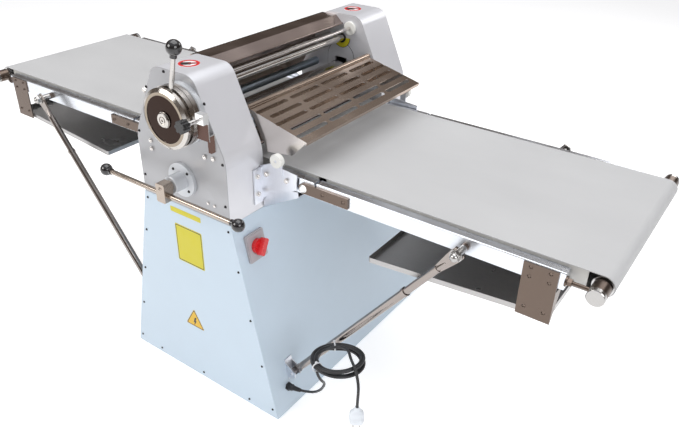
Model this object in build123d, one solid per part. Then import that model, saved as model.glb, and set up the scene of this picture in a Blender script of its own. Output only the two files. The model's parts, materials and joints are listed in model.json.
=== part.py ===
from build123d import *
import math
import os

os.makedirs("parts", exist_ok=True)

# ---------------------------------------------------------------------------
# Reversible dough sheeter, floor model with two folding belt tables.
# X runs along the belts, Y along the rollers (operator side at -Y), Z is up.
# Z = 0 is the floor. The lines below are drawn about the middle of the
# rollers, and Y_OFF moves the machine so that X = Y = 0 is the middle of its
# box, with the operator controls in it and the free power lead left out.
# ---------------------------------------------------------------------------

# driving dimensions, millimetres
Y_OFF = 53.76              # middle of the rollers from the middle of the box
FOOT_H = 12.0              # levelling feet under the cabinet
CAB_Y = 400.0              # half depth of the cabinet and of the head
CAB_BOT = 284.5            # half width of the cabinet at the floor
CAB_TOP = 154.0            # half width of the cabinet at the head
CAB_TOP_Z = 589.0
SHEET = 2.0                # cabinet sheet thickness

HEAD_TOP_Z = 948.0
HEAD_TOP_X = 66.0          # half width of the flat top, before rounding
HEAD_SHOULDER_X = 153.0
HEAD_SHOULDER_Z = 759.0
FRAME_IN = 271.5           # inner face of the side frames
FRAME_T = 12.0             # side frame thickness

BELT_TOP = 715.0
BELT_W = 500.0
BELT_T = 1.7
END_R = 22.0               # end roller radius
DRV_R = 25.0               # drive roller radius
END_X = 989.0
DRV_X = 92.0
RAIL_OUT = 278.0
RAIL_IN = 252.0
RAIL_TOP = 709.0
RAIL_BOT = 670.0
STUB_X0, STUB_X1 = 165.0, 320.0
RAIL_X0, RAIL_X1 = 324.0, 925.0
PIV_X, PIV_Z = 288.0, 687.0        # table fold pivot

PRESS_R = 42.0             # sheeting rollers
PRESS_Z = 671.0
NIP = 10.0
UPPER_Z = PRESS_Z + 2 * PRESS_R + NIP

DIAL_X, DIAL_Z = 30.0, 855.0
CROSS_X, CROSS_Z = 5.0, 878.0
CLUTCH_X, CLUTCH_Z = 3.0, 671.5
BAR_Y, BAR_Z = -462.0, 655.0         # clutch bar, below its shaft
GUARD_X, GUARD_Z = 102.0, 840.0
STRUT_Y = 315.0
BAR2_X, BAR2_Z = 89.0, 790.0   # round bars beside the upper roller
BASE_BOLTS = ((85, 631), (107, 630))
REST_X, REST_Z = 220.0, 745.5       # nylon rest discs
FOOT_X, FOOT_Z = 275.0, 122.0      # strut foot pivot
STUD_X, STUD_Z = 713.0, 687.0      # strut stud on the table rail
CORD_D = 7.2


# --------------------------------------------------------------- helpers ----
def bx(x0, x1, y0, y1, z0, z1):
    return Pos((x0 + x1) / 2, (y0 + y1) / 2, (z0 + z1) / 2) * Box(
        abs(x1 - x0), abs(y1 - y0), abs(z1 - z0))


def cy(x, z, y0, y1, r):
    return Pos(x, (y0 + y1) / 2, z) * Rot(90, 0, 0) * Cylinder(r, abs(y1 - y0))


def cx(y, z, x0, x1, r):
    return Pos((x0 + x1) / 2, y, z) * Rot(0, 90, 0) * Cylinder(r, abs(x1 - x0))


def cz(x, y, z0, z1, r):
    return Pos(x, y, (z0 + z1) / 2) * Cylinder(r, abs(z1 - z0))


def prism(pts, y0, y1):
    f = make_face(Polyline(*[(x, y0, z) for x, z in pts], close=True))
    return extrude(f, amount=abs(y1 - y0), dir=(0, 1 if y1 > y0 else -1, 0))


def mx(s):
    return mirror(s, Plane.YZ)


def my(s):
    return mirror(s, Plane.XZ)


def four(s):
    a = mx(s)
    return [s, a, my(s), my(a)]


def out(name, *items):
    sol = []
    for i in items:
        if isinstance(i, (list, tuple)):
            for j in i:
                sol += j.solids()
        else:
            sol += i.solids()
    sol = [Pos(0, Y_OFF, 0) * k for k in sol]
    export_step(sol[0] if len(sol) == 1 else Compound(sol), f"parts/{name}.step")


def button(x, y, z, n, r, sink=0.0):
    """Button head socket screw on a face at (x, y, z) with normal n."""
    h = 0.62 * r
    head = Cone(r, 0.62 * r, h, align=(Align.CENTER, Align.CENTER, Align.MIN))
    sock = extrude(RegularPolygon(0.42 * r, 6), amount=h * 0.6)
    head -= Pos(0, 0, h * 0.5) * sock
    return Plane(origin=(x, y, z), z_dir=n) * head


def hexbolt(x, y, z, n, r):
    head = extrude(RegularPolygon(r, 6), amount=0.65 * r)
    head += Pos(0, 0, 0.65 * r) * Cone(0.72 * r, 0.5 * r, 0.35 * r, align=(
        Align.CENTER, Align.CENTER, Align.MIN))
    return Plane(origin=(x, y, z), z_dir=n) * head


def ball_knob(R, rn, ln, rb, depth):
    """Ball on the X axis with a neck of radius rn towards -X and a blind bore of radius rb."""
    q = (R * R - rn * rn) ** 0.5
    m = math.atan2(rn, -q) / 2
    e = [Line((-ln, 0, rb), (-ln, 0, rn)), Line((-ln, 0, rn), (-q, 0, rn)),
         ThreePointArc((-q, 0, rn), (R * math.cos(m), 0, R * math.sin(m)), (R, 0, 0)),
         Line((R, 0, 0), (-depth, 0, 0)), Line((-depth, 0, 0), (-depth, 0, rb)), Line((-depth, 0, rb), (-ln, 0, rb))]
    return revolve(make_face(Curve() + e), axis=Axis.X, revolution_arc=360)


def xp(z):
    """Outer face of the right cabinet panel at height z."""
    return CAB_BOT - (z - FOOT_H) * (CAB_BOT - CAB_TOP) / (CAB_TOP_Z - FOOT_H)


PAN_N = Vector(CAB_TOP_Z - FOOT_H, 0, CAB_BOT - CAB_TOP).normalized()

# ---------------------------------------------------------------- cabinet ---
cab_pts = [(-CAB_BOT, FOOT_H), (CAB_BOT, FOOT_H), (CAB_TOP, CAB_TOP_Z), (-CAB_TOP, CAB_TOP_Z)]
front = prism(cab_pts, -CAB_Y, -CAB_Y + SHEET)
front = fillet(front.edges().filter_by(Axis.X).group_by(Axis.Z)[0].group_by(Axis.Y)[0], 1.0)
# ventilation louvres are on the far panel only
rear = prism(cab_pts, CAB_Y - SHEET, CAB_Y)
for k in range(6):
    rear -= bx(-70, 70, CAB_Y - SHEET - 1, CAB_Y + 1, 180 + 22 * k, 187 + 22 * k)
out("cabinet_end_panels", front, rear)

tt = SHEET / PAN_N.X
side = prism([(CAB_BOT, FOOT_H), (CAB_TOP, CAB_TOP_Z), (CAB_TOP - tt, CAB_TOP_Z), (CAB_BOT - tt, FOOT_H)],
             -CAB_Y + SHEET, CAB_Y - SHEET)
side_r = side - Plane(origin=(xp(509.0), -336, 509.0), z_dir=PAN_N) * Cylinder(14, 20)
side_r -= Plane(origin=(xp(79.0), -336, 79.0), z_dir=PAN_N) * Cylinder(8, 20)
out("cabinet_side_panels", side_r, mx(side))

fr = None
for sx in (-1, 1):
    for sy in (-1, 1):
        y0, y1 = (-397.5, -372.5) if sy < 0 else (372.5, 397.5)
        yy = (-397.5, -394.5) if sy < 0 else (394.5, 397.5)
        xb, xt = xp(FOOT_H + 3) - tt - 0.1, xp(CAB_TOP_Z - 3) - tt - 0.1
        post = prism([(sx * xb, FOOT_H + 3), (sx * xt, CAB_TOP_Z - 3),
                      (sx * (xt - 3), CAB_TOP_Z - 3), (sx * (xb - 3), FOOT_H + 3)], y0, y1)
        post += prism([(sx * xb, FOOT_H + 3), (sx * xt, CAB_TOP_Z - 3),
                       (sx * (xt - 26), CAB_TOP_Z - 3), (sx * (xb - 26), FOOT_H + 3)], *yy)
        fr = post if fr is None else fr + post
floor = bx(-CAB_BOT + tt + 1.5, CAB_BOT - tt - 1.5, -397.5, 397.5, FOOT_H, FOOT_H + 3)
roof = bx(-CAB_TOP + tt + 0.2, CAB_TOP - tt - 0.2, -397.5, 397.5, CAB_TOP_Z - 3, CAB_TOP_Z)
roof -= bx(-60, 60, 284.5, 345, CAB_TOP_Z - 5, CAB_TOP_Z + 2)
fr = fr + floor + roof
out("cabinet_frame", fr)

feet = []
for s in four(cz(235, -360, 0, 6, 20) + cz(235, -360, 6, FOOT_H, 8)):
    feet.append(s)
out("levelling_feet", feet)

# ------------------------------------------------------------------- head ---
def head_face(y, inset=0.0):
    """Outline of the head casing: flat top, sloping shoulders, straight foot."""
    pts = [(-CAB_TOP + 1, CAB_TOP_Z), (CAB_TOP - 1, CAB_TOP_Z), (HEAD_SHOULDER_X, HEAD_SHOULDER_Z),
           (HEAD_TOP_X, HEAD_TOP_Z), (-HEAD_TOP_X, HEAD_TOP_Z), (-HEAD_SHOULDER_X, HEAD_SHOULDER_Z)]
    f = make_face(Polyline(*[(x, y, z) for x, z in pts], close=True))
    v = f.vertices().sort_by(Axis.Z)
    f = fillet(v[-2:], 38.0)
    v = [p for p in f.vertices() if abs(p.Z - HEAD_SHOULDER_Z) < 0.5]
    f = fillet(v, 95.0)
    if inset:
        f = offset(f, amount=-inset, kind=Kind.INTERSECTION)
    return f


def head_prism(y0, y1, inset=0.0):
    return extrude(head_face(y0, inset), amount=abs(y1 - y0), dir=(0, 1 if y1 > y0 else -1, 0))


Y_A, Y_B = -FRAME_IN - FRAME_T, -FRAME_IN
frame_n = head_prism(Y_A, Y_B)
slot = bx(-26, 26, Y_A - 1, Y_B + 1, 722, 816)
frame_n -= slot
for x, z, r in ((0, PRESS_Z, 17.0), (DRV_X, 688, 10.0), (-DRV_X, 688, 10.0),
                (GUARD_X, GUARD_Z, 5.05), (-GUARD_X, GUARD_Z, 5.05), (CROSS_X, CROSS_Z, 10.05)):
    frame_n -= cy(x, z, Y_A - 1, Y_B + 1, r)
frame_f = my(frame_n)
frame_n -= cy(DIAL_X, DIAL_Z, Y_A - 1, Y_B + 1, 8.05)
out("side_frames", frame_n, frame_f)

shell = head_prism(-398, Y_A) - head_prism(-398, Y_A, SHEET)
shell_n = shell - bx(-136, 136, -390, Y_A + 1, CAB_TOP_Z - 3, CAB_TOP_Z + 4)
out("housing_shells", shell_n, my(shell_n))

plate = head_prism(-400, -398)
plate = chamfer(plate.faces().sort_by(Axis.Y)[0].edges(), 0.8)
plate_n = plate - cy(DIAL_X, DIAL_Z, -401, -397, 8.3) - cy(CLUTCH_X, CLUTCH_Z, -401, -397, 9.3)
out("housing_face_plates", plate_n, my(plate))

# stays and rods between the two side frames
rods = [cy(33, 910, -FRAME_IN, FRAME_IN, 5), cy(-44, 880, -FRAME_IN, FRAME_IN, 7),
        cy(120, 640, -FRAME_IN, FRAME_IN, 10), cy(-120, 640, -FRAME_IN, FRAME_IN, 10),
        cy(0, 606, -FRAME_IN, FRAME_IN, 10)]
# round bars beside the upper roller, on pins in the side frames
for sx in (-1, 1):
    rods.append(cy(sx * BAR2_X, BAR2_Z, -262, 262, 12.5) + cy(sx * BAR2_X, BAR2_Z, -FRAME_IN, FRAME_IN, 5))
out("tie_rods", rods)

# polished cover over the rollers, with rolled lips
top = prism([(-100, 900), (-72, 941.5), (-20, 941.5), (2, 921), (2 - 1.1, 919.9), (-20.6, 940), (-71.2, 940), (-98.5, 899.6),
             (-98.5, 853), (-100, 853)], -FRAME_IN, FRAME_IN)
lip = cy(2.2, 919.6, -FRAME_IN, FRAME_IN, 3.0) - cy(2.2, 919.6, -FRAME_IN - 1, FRAME_IN + 1, 1.8)
top = top + lip

# plates that bridge the gap between the belts and the lower roller
br = prism([(18, 711.6), (18, 713.4), (70, 713.4), (74, 711.6), (49, 711.6), (49, 640), (47, 640), (47, 711.6)],
           -FRAME_IN, FRAME_IN)
out("roller_cover_sheets", top, br, mx(br))

# ------------------------------------------------- stub tables and brackets -
TB_Y0, TB_Y1 = -285.0, -278.0
web = prism([(155, 610), (155, 710), (188, 725), (271, 718), (268.5, 676), (219, 655), (168, 626)], TB_Y0, TB_Y0 + 3)
flange = bx(154.2, 158.2, -311, TB_Y0 + 3, 610, 706)
tb = web + flange
tb += bx(154.2, 158.2, TB_Y0, TB_Y0 + 3, 610, 706)
tb += bx(REST_X - 9, REST_X + 9, TB_Y0 - 3, TB_Y0, 702, REST_Z) + cy(REST_X, REST_Z, TB_Y0 - 3, TB_Y0, 9)
tb += cy(REST_X, REST_Z, TB_Y0 - 16, TB_Y0 - 2, 3.9)
fp_pts = [(xp(100.0), 100), (xp(160.0), 160), (xp(160.0) + 3, 160), (xp(100.0) + 3, 100)]
fb = prism(fp_pts, -(STRUT_Y + 14), -(STRUT_Y - 14))
ear = [(xp(104.0) + 2.5, 104), (289, 113), (289, 131), (xp(150.0) + 2.5, 150)]
fb += prism(ear, -(STRUT_Y + 14), -(STRUT_Y + 11)) + prism(ear, -(STRUT_Y - 11), -(STRUT_Y - 14))
fb += cy(FOOT_X, FOOT_Z, -(STRUT_Y + 17), -(STRUT_Y - 14), 5.0)
out("table_and_strut_brackets", four(tb), four(fb))

uc = prism([(156, 592), (158, 590.5), (269, 653), (268, 655)], -276, 276)
uc_side = prism([(156, 592), (158, 590.5), (269, 653), (267, 668), (222, 664), (170, 637), (156, 618)], -278, -275.5)
uc += uc_side + my(uc_side)
out("under_covers", uc, mx(uc))

st = bx(STUB_X0, STUB_X1, -RAIL_OUT, -RAIL_IN, RAIL_BOT, RAIL_TOP)
st = fillet(st.edges().filter_by(Axis.X).group_by(Axis.Z)[-1], 3)
st -= bx(STUB_X0 + 2, STUB_X1 - 2, -RAIL_OUT + 2, -RAIL_IN - 2, RAIL_BOT - 1, RAIL_TOP - 2)
st_mask = bx(STUB_X0 - 1, PIV_X, -300, -240, 600, 760) + cy(PIV_X, PIV_Z, -300, -240, 35.0)
st = st & st_mask
out("stub_rails", four(st))

bed_in, bed_top = 247.0, BELT_TOP - BELT_T - 0.3


def bed(x0, x1):
    b = bx(x0, x1, -bed_in, bed_in, bed_top - 37, bed_top)
    b -= bx(x0 - 1, x1 + 1, -bed_in + 1.5, bed_in - 1.5, bed_top - 38, bed_top - 1.5)
    return b


stub_bed = bed(121, 308)
for xx in (150, 280):
    stub_bed += cy(xx, 688, -RAIL_IN, RAIL_IN, 6)
    stub_bed -= cy(xx, 688, -bed_in + 1.5, bed_in - 1.5, 4.5)
out("stub_beds", stub_bed, mx(stub_bed))


# ------------------------------------------------------------------ belts ---
def loop(extra):
    """Face of a belt loop around the drive and end rollers, grown by extra."""
    r1, r2 = DRV_R + 0.3 + extra, END_R + 0.3 + extra
    c1 = (DRV_X, BELT_TOP - BELT_T - DRV_R - 0.3)
    c2 = (END_X, BELT_TOP - BELT_T - END_R - 0.3)
    a = math.atan2(c2[1] - c1[1], c2[0] - c1[0])
    L = math.hypot(c2[0] - c1[0], c2[1] - c1[1])
    b = math.acos((r1 - r2) / L)

    def at(c, r, t):
        return (c[0] + r * math.cos(t), 0, c[1] + r * math.sin(t))
    t1, t2 = a + b, a - b
    e = [Line(at(c1, r1, t1), at(c2, r2, t1)),
         ThreePointArc(at(c2, r2, t1), at(c2, r2, a), at(c2, r2, t2)),
         Line(at(c2, r2, t2), at(c1, r1, t2)),
         ThreePointArc(at(c1, r1, t2), at(c1, r1, a + math.pi), at(c1, r1, t1))]
    return make_face(Curve() + e)


belt = extrude(loop(BELT_T), amount=BELT_W / 2, dir=(0, 1, 0), both=True) - extrude(
    loop(0.0), amount=BELT_W / 2 + 5, dir=(0, 1, 0), both=True)
stub_belt = belt & bx(0, 310, -300, 300, 600, 760)
belt_r = belt & bx(331, 1100, -300, 300, 600, 760)
out("stub_belts", stub_belt, mx(stub_belt))
out("right_table_belt", belt_r)
out("left_table_belt", mx(belt_r))
END_Z = BELT_TOP - BELT_T - END_R - 0.3
DRV_Z = BELT_TOP - BELT_T - DRV_R - 0.3

# -------------------------------------------------------- bearings in head --
brg = []
for sy in (-1, 1):
    y0, y1 = sy * 284.0, sy * 299.0
    brg.append(cy(0, PRESS_Z, y0, y1, 30) - cy(0, PRESS_Z, min(y0, y1) - 2, max(y0, y1) + 2, 15.05))
    for x in (-DRV_X, DRV_X):
        brg.append(cy(x, DRV_Z, y0, y1, 20) - cy(x, DRV_Z, min(y0, y1) - 2, max(y0, y1) + 2, 8.05))
out("roller_bearings", brg)


# ---------------------------------------------------------- moving: rollers -
def sprocket(x, z, y0, y1, r, n, bore):
    """Chain wheel with n rounded tooth gaps."""
    s = cy(x, z, y0, y1, r)
    for k in range(n):
        t = 2 * math.pi * k / n
        s -= cy(x + (r + 0.9) * math.cos(t), z + (r + 0.9) * math.sin(t), y0 - 1, y1 + 1, 2.6)
    return s


lower = cy(0, PRESS_Z, -260, 260, PRESS_R) + cy(0, PRESS_Z, -302, 336, 15)
lower = chamfer(lower.edges().filter_by(GeomType.CIRCLE).group_by(SortBy.RADIUS)[-1], 1.0)
for y0 in (303, 312, 322):
    lower += sprocket(0, PRESS_Z, y0, y0 + 4, 36, 24, 0)
out("lower_press_roller", lower)

upper = cy(0, UPPER_Z, -260, 260, PRESS_R) + cy(0, UPPER_Z, -312, 312, 12)
upper = chamfer(upper.edges().filter_by(GeomType.CIRCLE).group_by(SortBy.RADIUS)[-1], 1.0)
out("upper_press_roller", upper)

drv = cy(DRV_X, DRV_Z, -252, 252, DRV_R) + cy(DRV_X, DRV_Z, -301, 320, 8)
out("drive_roller_right", drv + sprocket(DRV_X, DRV_Z, 303, 307, 24, 16, 0))
out("drive_roller_left", mx(drv) + sprocket(-DRV_X, DRV_Z, 312, 316, 24, 16, 0))

er = cy(END_X, END_Z, -251, 251, END_R) + cy(END_X, END_Z, -290, 290, 8)
out("right_end_roller", er)
out("left_end_roller", mx(er))

# chain wheel of the gear motor, and the gear motor in the cabinet
MOT_X, MOT_Z = 0.0, 150.0
msp = cy(MOT_X, MOT_Z, 262, 330, 12) + sprocket(MOT_X, MOT_Z, 322, 326, 30, 20, 0)
out("motor_sprocket", msp)
mot = cy(MOT_X, MOT_Z, -150, 120, 75) + bx(MOT_X - 70, MOT_X + 70, 120, 255, MOT_Z - 70, MOT_Z + 80)
for k in range(10):
    t = 2 * math.pi * k / 10
    mot += Pos(MOT_X, 0, MOT_Z) * Rot(0, 36.0 * k, 0) * bx(-2, 2, -140, 110, 70, 84)
mot += bx(MOT_X - 90, MOT_X + 90, -130, 240, FOOT_H + 3, FOOT_H + 11)
mot += bx(MOT_X - 60, MOT_X + 60, -120, -90, FOOT_H + 11, MOT_Z - 40) + bx(MOT_X - 60, MOT_X + 60, 150, 235, FOOT_H + 11, MOT_Z - 40)
mot -= cy(MOT_X, MOT_Z, 250, 300, 12.3) + cy(MOT_X, MOT_Z, 240, 262, 12.3)
out("drive_motor", mot)


def chain(c1, r1, c2, r2, y0, y1, t=5.0):
    """Closed chain strand around two wheels, as a band."""
    def ring(q1, q2):
        a = math.atan2(c2[1] - c1[1], c2[0] - c1[0])
        L = math.hypot(c2[0] - c1[0], c2[1] - c1[1])
        b = math.acos((q1 - q2) / L)

        def at(c, r, th):
            return (c[0] + r * math.cos(th), y0, c[1] + r * math.sin(th))
        t1, t2 = a + b, a - b
        e = [Line(at(c1, q1, t1), at(c2, q2, t1)),
             ThreePointArc(at(c2, q2, t1), at(c2, q2, a), at(c2, q2, t2)),
             Line(at(c2, q2, t2), at(c1, q1, t2)),
             ThreePointArc(at(c1, q1, t2), at(c1, q1, a + math.pi), at(c1, q1, t1))]
        return make_face(Curve() + e)
    o = extrude(ring(r1 + t, r2 + t), amount=y1 - y0, dir=(0, 1, 0))
    i = extrude(ring(r1, r2), amount=y1 - y0 + 4, dir=(0, 1, 0))
    return o - Pos(0, -2, 0) * i


# main chain, and one chain to each drive roller in its own plane
ch1 = chain((MOT_X, MOT_Z), 30.5, (0.0, PRESS_Z), 36.5, 321, 327)
ch2 = chain((DRV_X, DRV_Z), 24.5, (0.0, PRESS_Z), 36.5, 302, 308)
ch3 = chain((-DRV_X, DRV_Z), 24.5, (0.0, PRESS_Z), 36.5, 311, 317)
out("drive_chains", ch1, ch2, ch3)

# ------------------------------------------------- thickness adjusting parts
blk = None
blocks = []
for sy in (-1, 1):
    y0, y1 = (-311.0, -284.0) if sy < 0 else (284.0, 311.0)
    b = bx(-34, 34, y0, y1, UPPER_Z - 28, UPPER_Z + 28)
    ys = (-285.0, -263.0) if sy < 0 else (263.0, 285.0)
    b += bx(-20, 20, ys[0], ys[1], UPPER_Z - 20, UPPER_Z + 20)
    b += bx(-5, 5, (-306 if sy < 0 else 300), (-300 if sy < 0 else 306), UPPER_Z + 27, UPPER_Z + 62)
    b -= cy(0, UPPER_Z, min(y0, ys[0]) - 2, max(y1, ys[1]) + 2, 12.05)
    blocks.append(b)
out("upper_roller_carriage", blocks)


def gear(x, z, y0, y1, n, m, phase):
    """Spur wheel with straight-sided teeth; backlash is left on the flanks."""
    rp, ra, rf = n * m / 2, n * m / 2 + 0.8 * m, n * m / 2 - 1.05 * m
    pts = []
    for k in range(n):
        c = phase + 2 * math.pi * k / n
        q = 2 * math.pi / n
        for r, a in ((rf, -0.33 * q), (ra, -0.115 * q), (ra, 0.115 * q), (rf, 0.33 * q)):
            pts.append((x + r * math.cos(c + a), z + r * math.sin(c + a)))
    return prism(pts, y0, y1)


gd = math.hypot(DIAL_X - CROSS_X, DIAL_Z - CROSS_Z)
NG = 16
MOD = gd / NG
ga = math.atan2(CROSS_Z - DIAL_Z, CROSS_X - DIAL_X)
dial_shaft = cy(DIAL_X, DIAL_Z, -460, -272.5, 8) + gear(DIAL_X, DIAL_Z, -345, -333, NG, MOD, ga)
cross = cy(CROSS_X, CROSS_Z, -350, 312, 10) + gear(CROSS_X, CROSS_Z, -345, -333, NG, MOD, ga + math.pi + math.pi / NG)
for y0, y1 in ((-298, -286), (286, 298)):
    cross += cy(CROSS_X, CROSS_Z + 5, y0, y1, 17)
out("cross_shaft", cross)

# dial: turned double disc with a groove, and the hub cap
DIAL_F = -461.0                # front face of the dial
disc = cy(DIAL_X, DIAL_Z, -440, -416, 74) + cy(DIAL_X, DIAL_Z, -448, -439, 62) + cy(DIAL_X, DIAL_Z, DIAL_F, -447, 73)
disc -= cy(DIAL_X, DIAL_Z, -429, -427, 80) - cy(DIAL_X, DIAL_Z, -430, -426, 72.5)
ring_cut = cy(DIAL_X, DIAL_Z, DIAL_F - 1, DIAL_F + 5, 80) - Plane(origin=(DIAL_X, DIAL_F, DIAL_Z), z_dir=(0, -1, 0)) * (
    Pos(0, 0, -5) * Cone(73, 64, 5, align=(Align.CENTER, Align.CENTER, Align.MIN)))
disc -= ring_cut
disc -= cy(DIAL_X, DIAL_Z, DIAL_F - 1, DIAL_F + 1.6, 57) - cy(DIAL_X, DIAL_Z, DIAL_F - 2, DIAL_F + 5, 21)
hub = cy(DIAL_X, DIAL_Z, DIAL_F - 5, DIAL_F, 18) - cy(DIAL_X, DIAL_Z, DIAL_F - 6, DIAL_F - 2, 10)
hub = chamfer(hub.edges().filter_by(GeomType.CIRCLE).group_by(Axis.Y)[0].group_by(SortBy.RADIUS)[-1], 2.0)
hub += Plane(origin=(DIAL_X, DIAL_F - 2, DIAL_Z), z_dir=(0, -1, 0)) * (
    Cylinder(7.2, 3, align=(Align.CENTER, Align.CENTER, Align.MIN)) - Pos(0, 0, 1) * extrude(RegularPolygon(3.6, 6), amount=4))
disc = disc + hub + dial_shaft
out("dial_disc", disc)

LT = math.radians(13.0)        # lever leans towards +X at rest
ld = (math.sin(LT), math.cos(LT))
lev_y = -443.5
lever = Plane(origin=(DIAL_X + 62.3 * ld[0], lev_y, DIAL_Z + 62.3 * ld[1]), z_dir=(ld[0], 0, ld[1])) * (
    Cylinder(3.3, 97, align=(Align.CENTER, Align.CENTER, Align.MIN)) + Pos(0, 0, 16) * Cone(
        6.2, 5.2, 81, align=(Align.CENTER, Align.CENTER, Align.MIN)))
out("dial_lever", lever)
knob = Plane(origin=(DIAL_X + 174 * ld[0], lev_y, DIAL_Z + 174 * ld[1]), x_dir=(ld[0], 0, ld[1]), z_dir=(0, -1, 0)) * (
    ball_knob(18.0, 8.5, 23.0, 6.3, 14.0))
out("dial_lever_knob", knob)

# fixed bosses on the operator face: dial ring and clutch flange
ring = cy(DIAL_X, DIAL_Z, -413, -400, 75) - cy(DIAL_X, DIAL_Z, -414, -399, 8.3)
ring = chamfer(ring.edges().filter_by(GeomType.CIRCLE).group_by(Axis.Y)[0].group_by(SortBy.RADIUS)[-1], 2.5)
boss = cy(CLUTCH_X, CLUTCH_Z, -408, -400, 45) + cy(CLUTCH_X, CLUTCH_Z, -443, -408, 23)
boss = chamfer(boss.edges().filter_by(GeomType.CIRCLE).group_by(Axis.Y)[0].group_by(SortBy.RADIUS)[-1], 2.0)
boss -= cy(CLUTCH_X, CLUTCH_Z, -460, -390, 9.05)
out("operator_side_bosses", ring, boss)

# dial stop: bracket with a white block that guides a spring plunger
STOP_X, STOP_Z = 136.0, 880.0
sb = prism([(103, 826), (127, 826), (127, 781), (113, 772), (104, 773)], -402.5, -400)
sb += bx(108, 127, -438, -401, 823.5, 826) + bx(112, 147, -438, -435.5, 823.5, 872)
sb += bx(124, 148, -452, -436, 868, 892)
sb -= cy(STOP_X, STOP_Z, -460, -430, 5.06)
out("dial_stop_bracket", sb)
plg = cy(STOP_X, STOP_Z, -492, -428, 5.0)
fl = cy(STOP_X, STOP_Z, -510, -490, 14.8)
for k in range(7):
    t = 2 * math.pi * k / 7
    fl -= cy(STOP_X + 16.6 * math.cos(t), STOP_Z + 16.6 * math.sin(t), -511, -489, 4.4)
fl += cy(STOP_X, STOP_Z, -491, -485, 8)
out("dial_stop_plunger", plg + fl)

# clutch lever: shaft, clamp block and long bar
cl = cy(CLUTCH_X, CLUTCH_Z, -475, -372, 9.0)
blk_c = bx(CLUTCH_X - 15, CLUTCH_X + 15, -476, -449, BAR_Z - 17, CLUTCH_Z + 16)
cl += fillet(blk_c.edges().filter_by(Axis.Y), 4.0)
cl += cy(CLUTCH_X, CLUTCH_Z, -450, -444, 14)
cl += cx(BAR_Y, BAR_Z, CLUTCH_X - 208, CLUTCH_X + 227, 6.5)
cl += cy(CLUTCH_X, CLUTCH_Z, -384, -372, 24) + bx(CLUTCH_X - 6, CLUTCH_X + 6, -384, -374, CLUTCH_Z - 60, CLUTCH_Z - 15)
cl += button(CLUTCH_X, -476, CLUTCH_Z + 4, (0, -1, 0), 4.5)
cl += button(CLUTCH_X - 7, -462, BAR_Z - 17, (0, 0, -1), 4) + button(CLUTCH_X + 7, -462, BAR_Z - 17, (0, 0, -1), 4)
out("clutch_lever", cl)
kn = []
for x, s_ in ((CLUTCH_X - 221, -1), (CLUTCH_X + 240, 1)):
    kn.append(Plane(origin=(x, BAR_Y, BAR_Z), x_dir=(s_, 0, 0), z_dir=(0, -1, 0)) * ball_knob(16.0, 8.6, 21.0, 6.6, 9.5))
out("clutch_lever_knobs", kn)


# --------------------------------------------------------- rotary switch ----
sw_pl = Plane(origin=(xp(509.0), -336, 509.0), x_dir=(0, 1, 0), z_dir=PAN_N)
swp = extrude(fillet(Rectangle(66, 76).vertices(), 5), amount=6)
swp += Pos(0, 0, 5.5) * extrude(fillet(Rectangle(58, 68).vertices(), 3), amount=2)
swp -= Pos(0, 0, -1) * Cylinder(5.2, 30)
out("switch_plate", sw_pl * swp)
skn = Cylinder(20, 12, align=(Align.CENTER, Align.CENTER, Align.MIN))
skn += Pos(0, 0, 11) * extrude(fillet(Rectangle(15, 46).vertices(), 5), amount=16) - Pos(0, 0, 5) * Box(0.1, 0.1, 0.1)
skn += Pos(0, 0, -20) * Cylinder(5.0, 22, align=(Align.CENTER, Align.CENTER, Align.MIN))
out("switch_knob", sw_pl * Pos(0, 0, 8) * Rot(0, 0, -38) * skn)

# ------------------------------------------------------------- right table --
rl = bx(RAIL_X0, RAIL_X1, -RAIL_OUT, -RAIL_IN, RAIL_BOT, RAIL_TOP)
rl = fillet(rl.edges().filter_by(Axis.X).group_by(Axis.Z)[-1], 3)
rl -= bx(RAIL_X0 + 2, RAIL_X1 - 2, -RAIL_OUT + 2, -RAIL_IN - 2, RAIL_BOT - 1, RAIL_TOP - 2)
rails = [rl, my(rl)]
out("right_table_rails", rails)
out("left_table_rails", [mx(r) for r in rails])

bd = bed(331, 958)
for xx in (370, 640, 890):
    bd += cy(xx, 688, -RAIL_IN, RAIL_IN, 6)
    bd -= cy(xx, 688, -bed_in + 1.5, bed_in - 1.5, 4.5)
out("right_table_bed", bd)
out("left_table_bed", mx(bd))

HP = prism([(PIV_X, 674), (417, 674), (417, 701), (PIV_X, 701)], -283, -278.3)
HP += cy(PIV_X, PIV_Z, -283, -278.3, 13.5)
HP += Pos(PIV_X, -283, PIV_Z) * Rot(90, 0, 0) * Cone(10.5, 6.5, 6, align=(Align.CENTER, Align.CENTER, Align.MIN))
for x in (345, 404):
    HP += button(x, -283, 688, (0, -1, 0), 5)
BPt = bx(840, 913, -281, -278.3, 580, 706)
BPt += prism([(911, 640), (913, 640), (913, 700), (911, 700)], -278.4, -278.3)
gus = extrude(make_face(Polyline((911, -280, 658), (911, -240, 658), (911, -276, 584), (911, -280, 584), close=True)),
              amount=2, dir=(1, 0, 0))
BPt += gus & bx(900, 920, -281, -230, 560, 669)
for x, z in ((856, 697), (897, 697), (856, 675), (897, 675), (856, 602), (897, 602)):
    BPt += button(x, -281, z, (0, -1, 0), 4.4)
STUD = cy(STUD_X, STUD_Z, -(STRUT_Y - 3.5), -278, 9) + cy(STUD_X, STUD_Z, -(STRUT_Y + 14), -300, 5)
STUD += cy(STUD_X, STUD_Z, -(STRUT_Y + 6), -(STRUT_Y + 3.6), 14)
nut = Plane(origin=(STUD_X, -(STRUT_Y + 6), STUD_Z), z_dir=(0, -1, 0)) * extrude(RegularPolygon(12, 6), amount=8)
dome = Pos(STUD_X, -(STRUT_Y + 12), STUD_Z) * Sphere(10)
STUD += nut + (dome & cy(STUD_X, STUD_Z, -(STRUT_Y + 24), -(STRUT_Y + 13), 11))
CAP = cy(END_X, END_Z, -298, -256, 18.5)
CAP = chamfer(CAP.edges().filter_by(GeomType.CIRCLE).group_by(Axis.Y)[0], 1.5)
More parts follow.
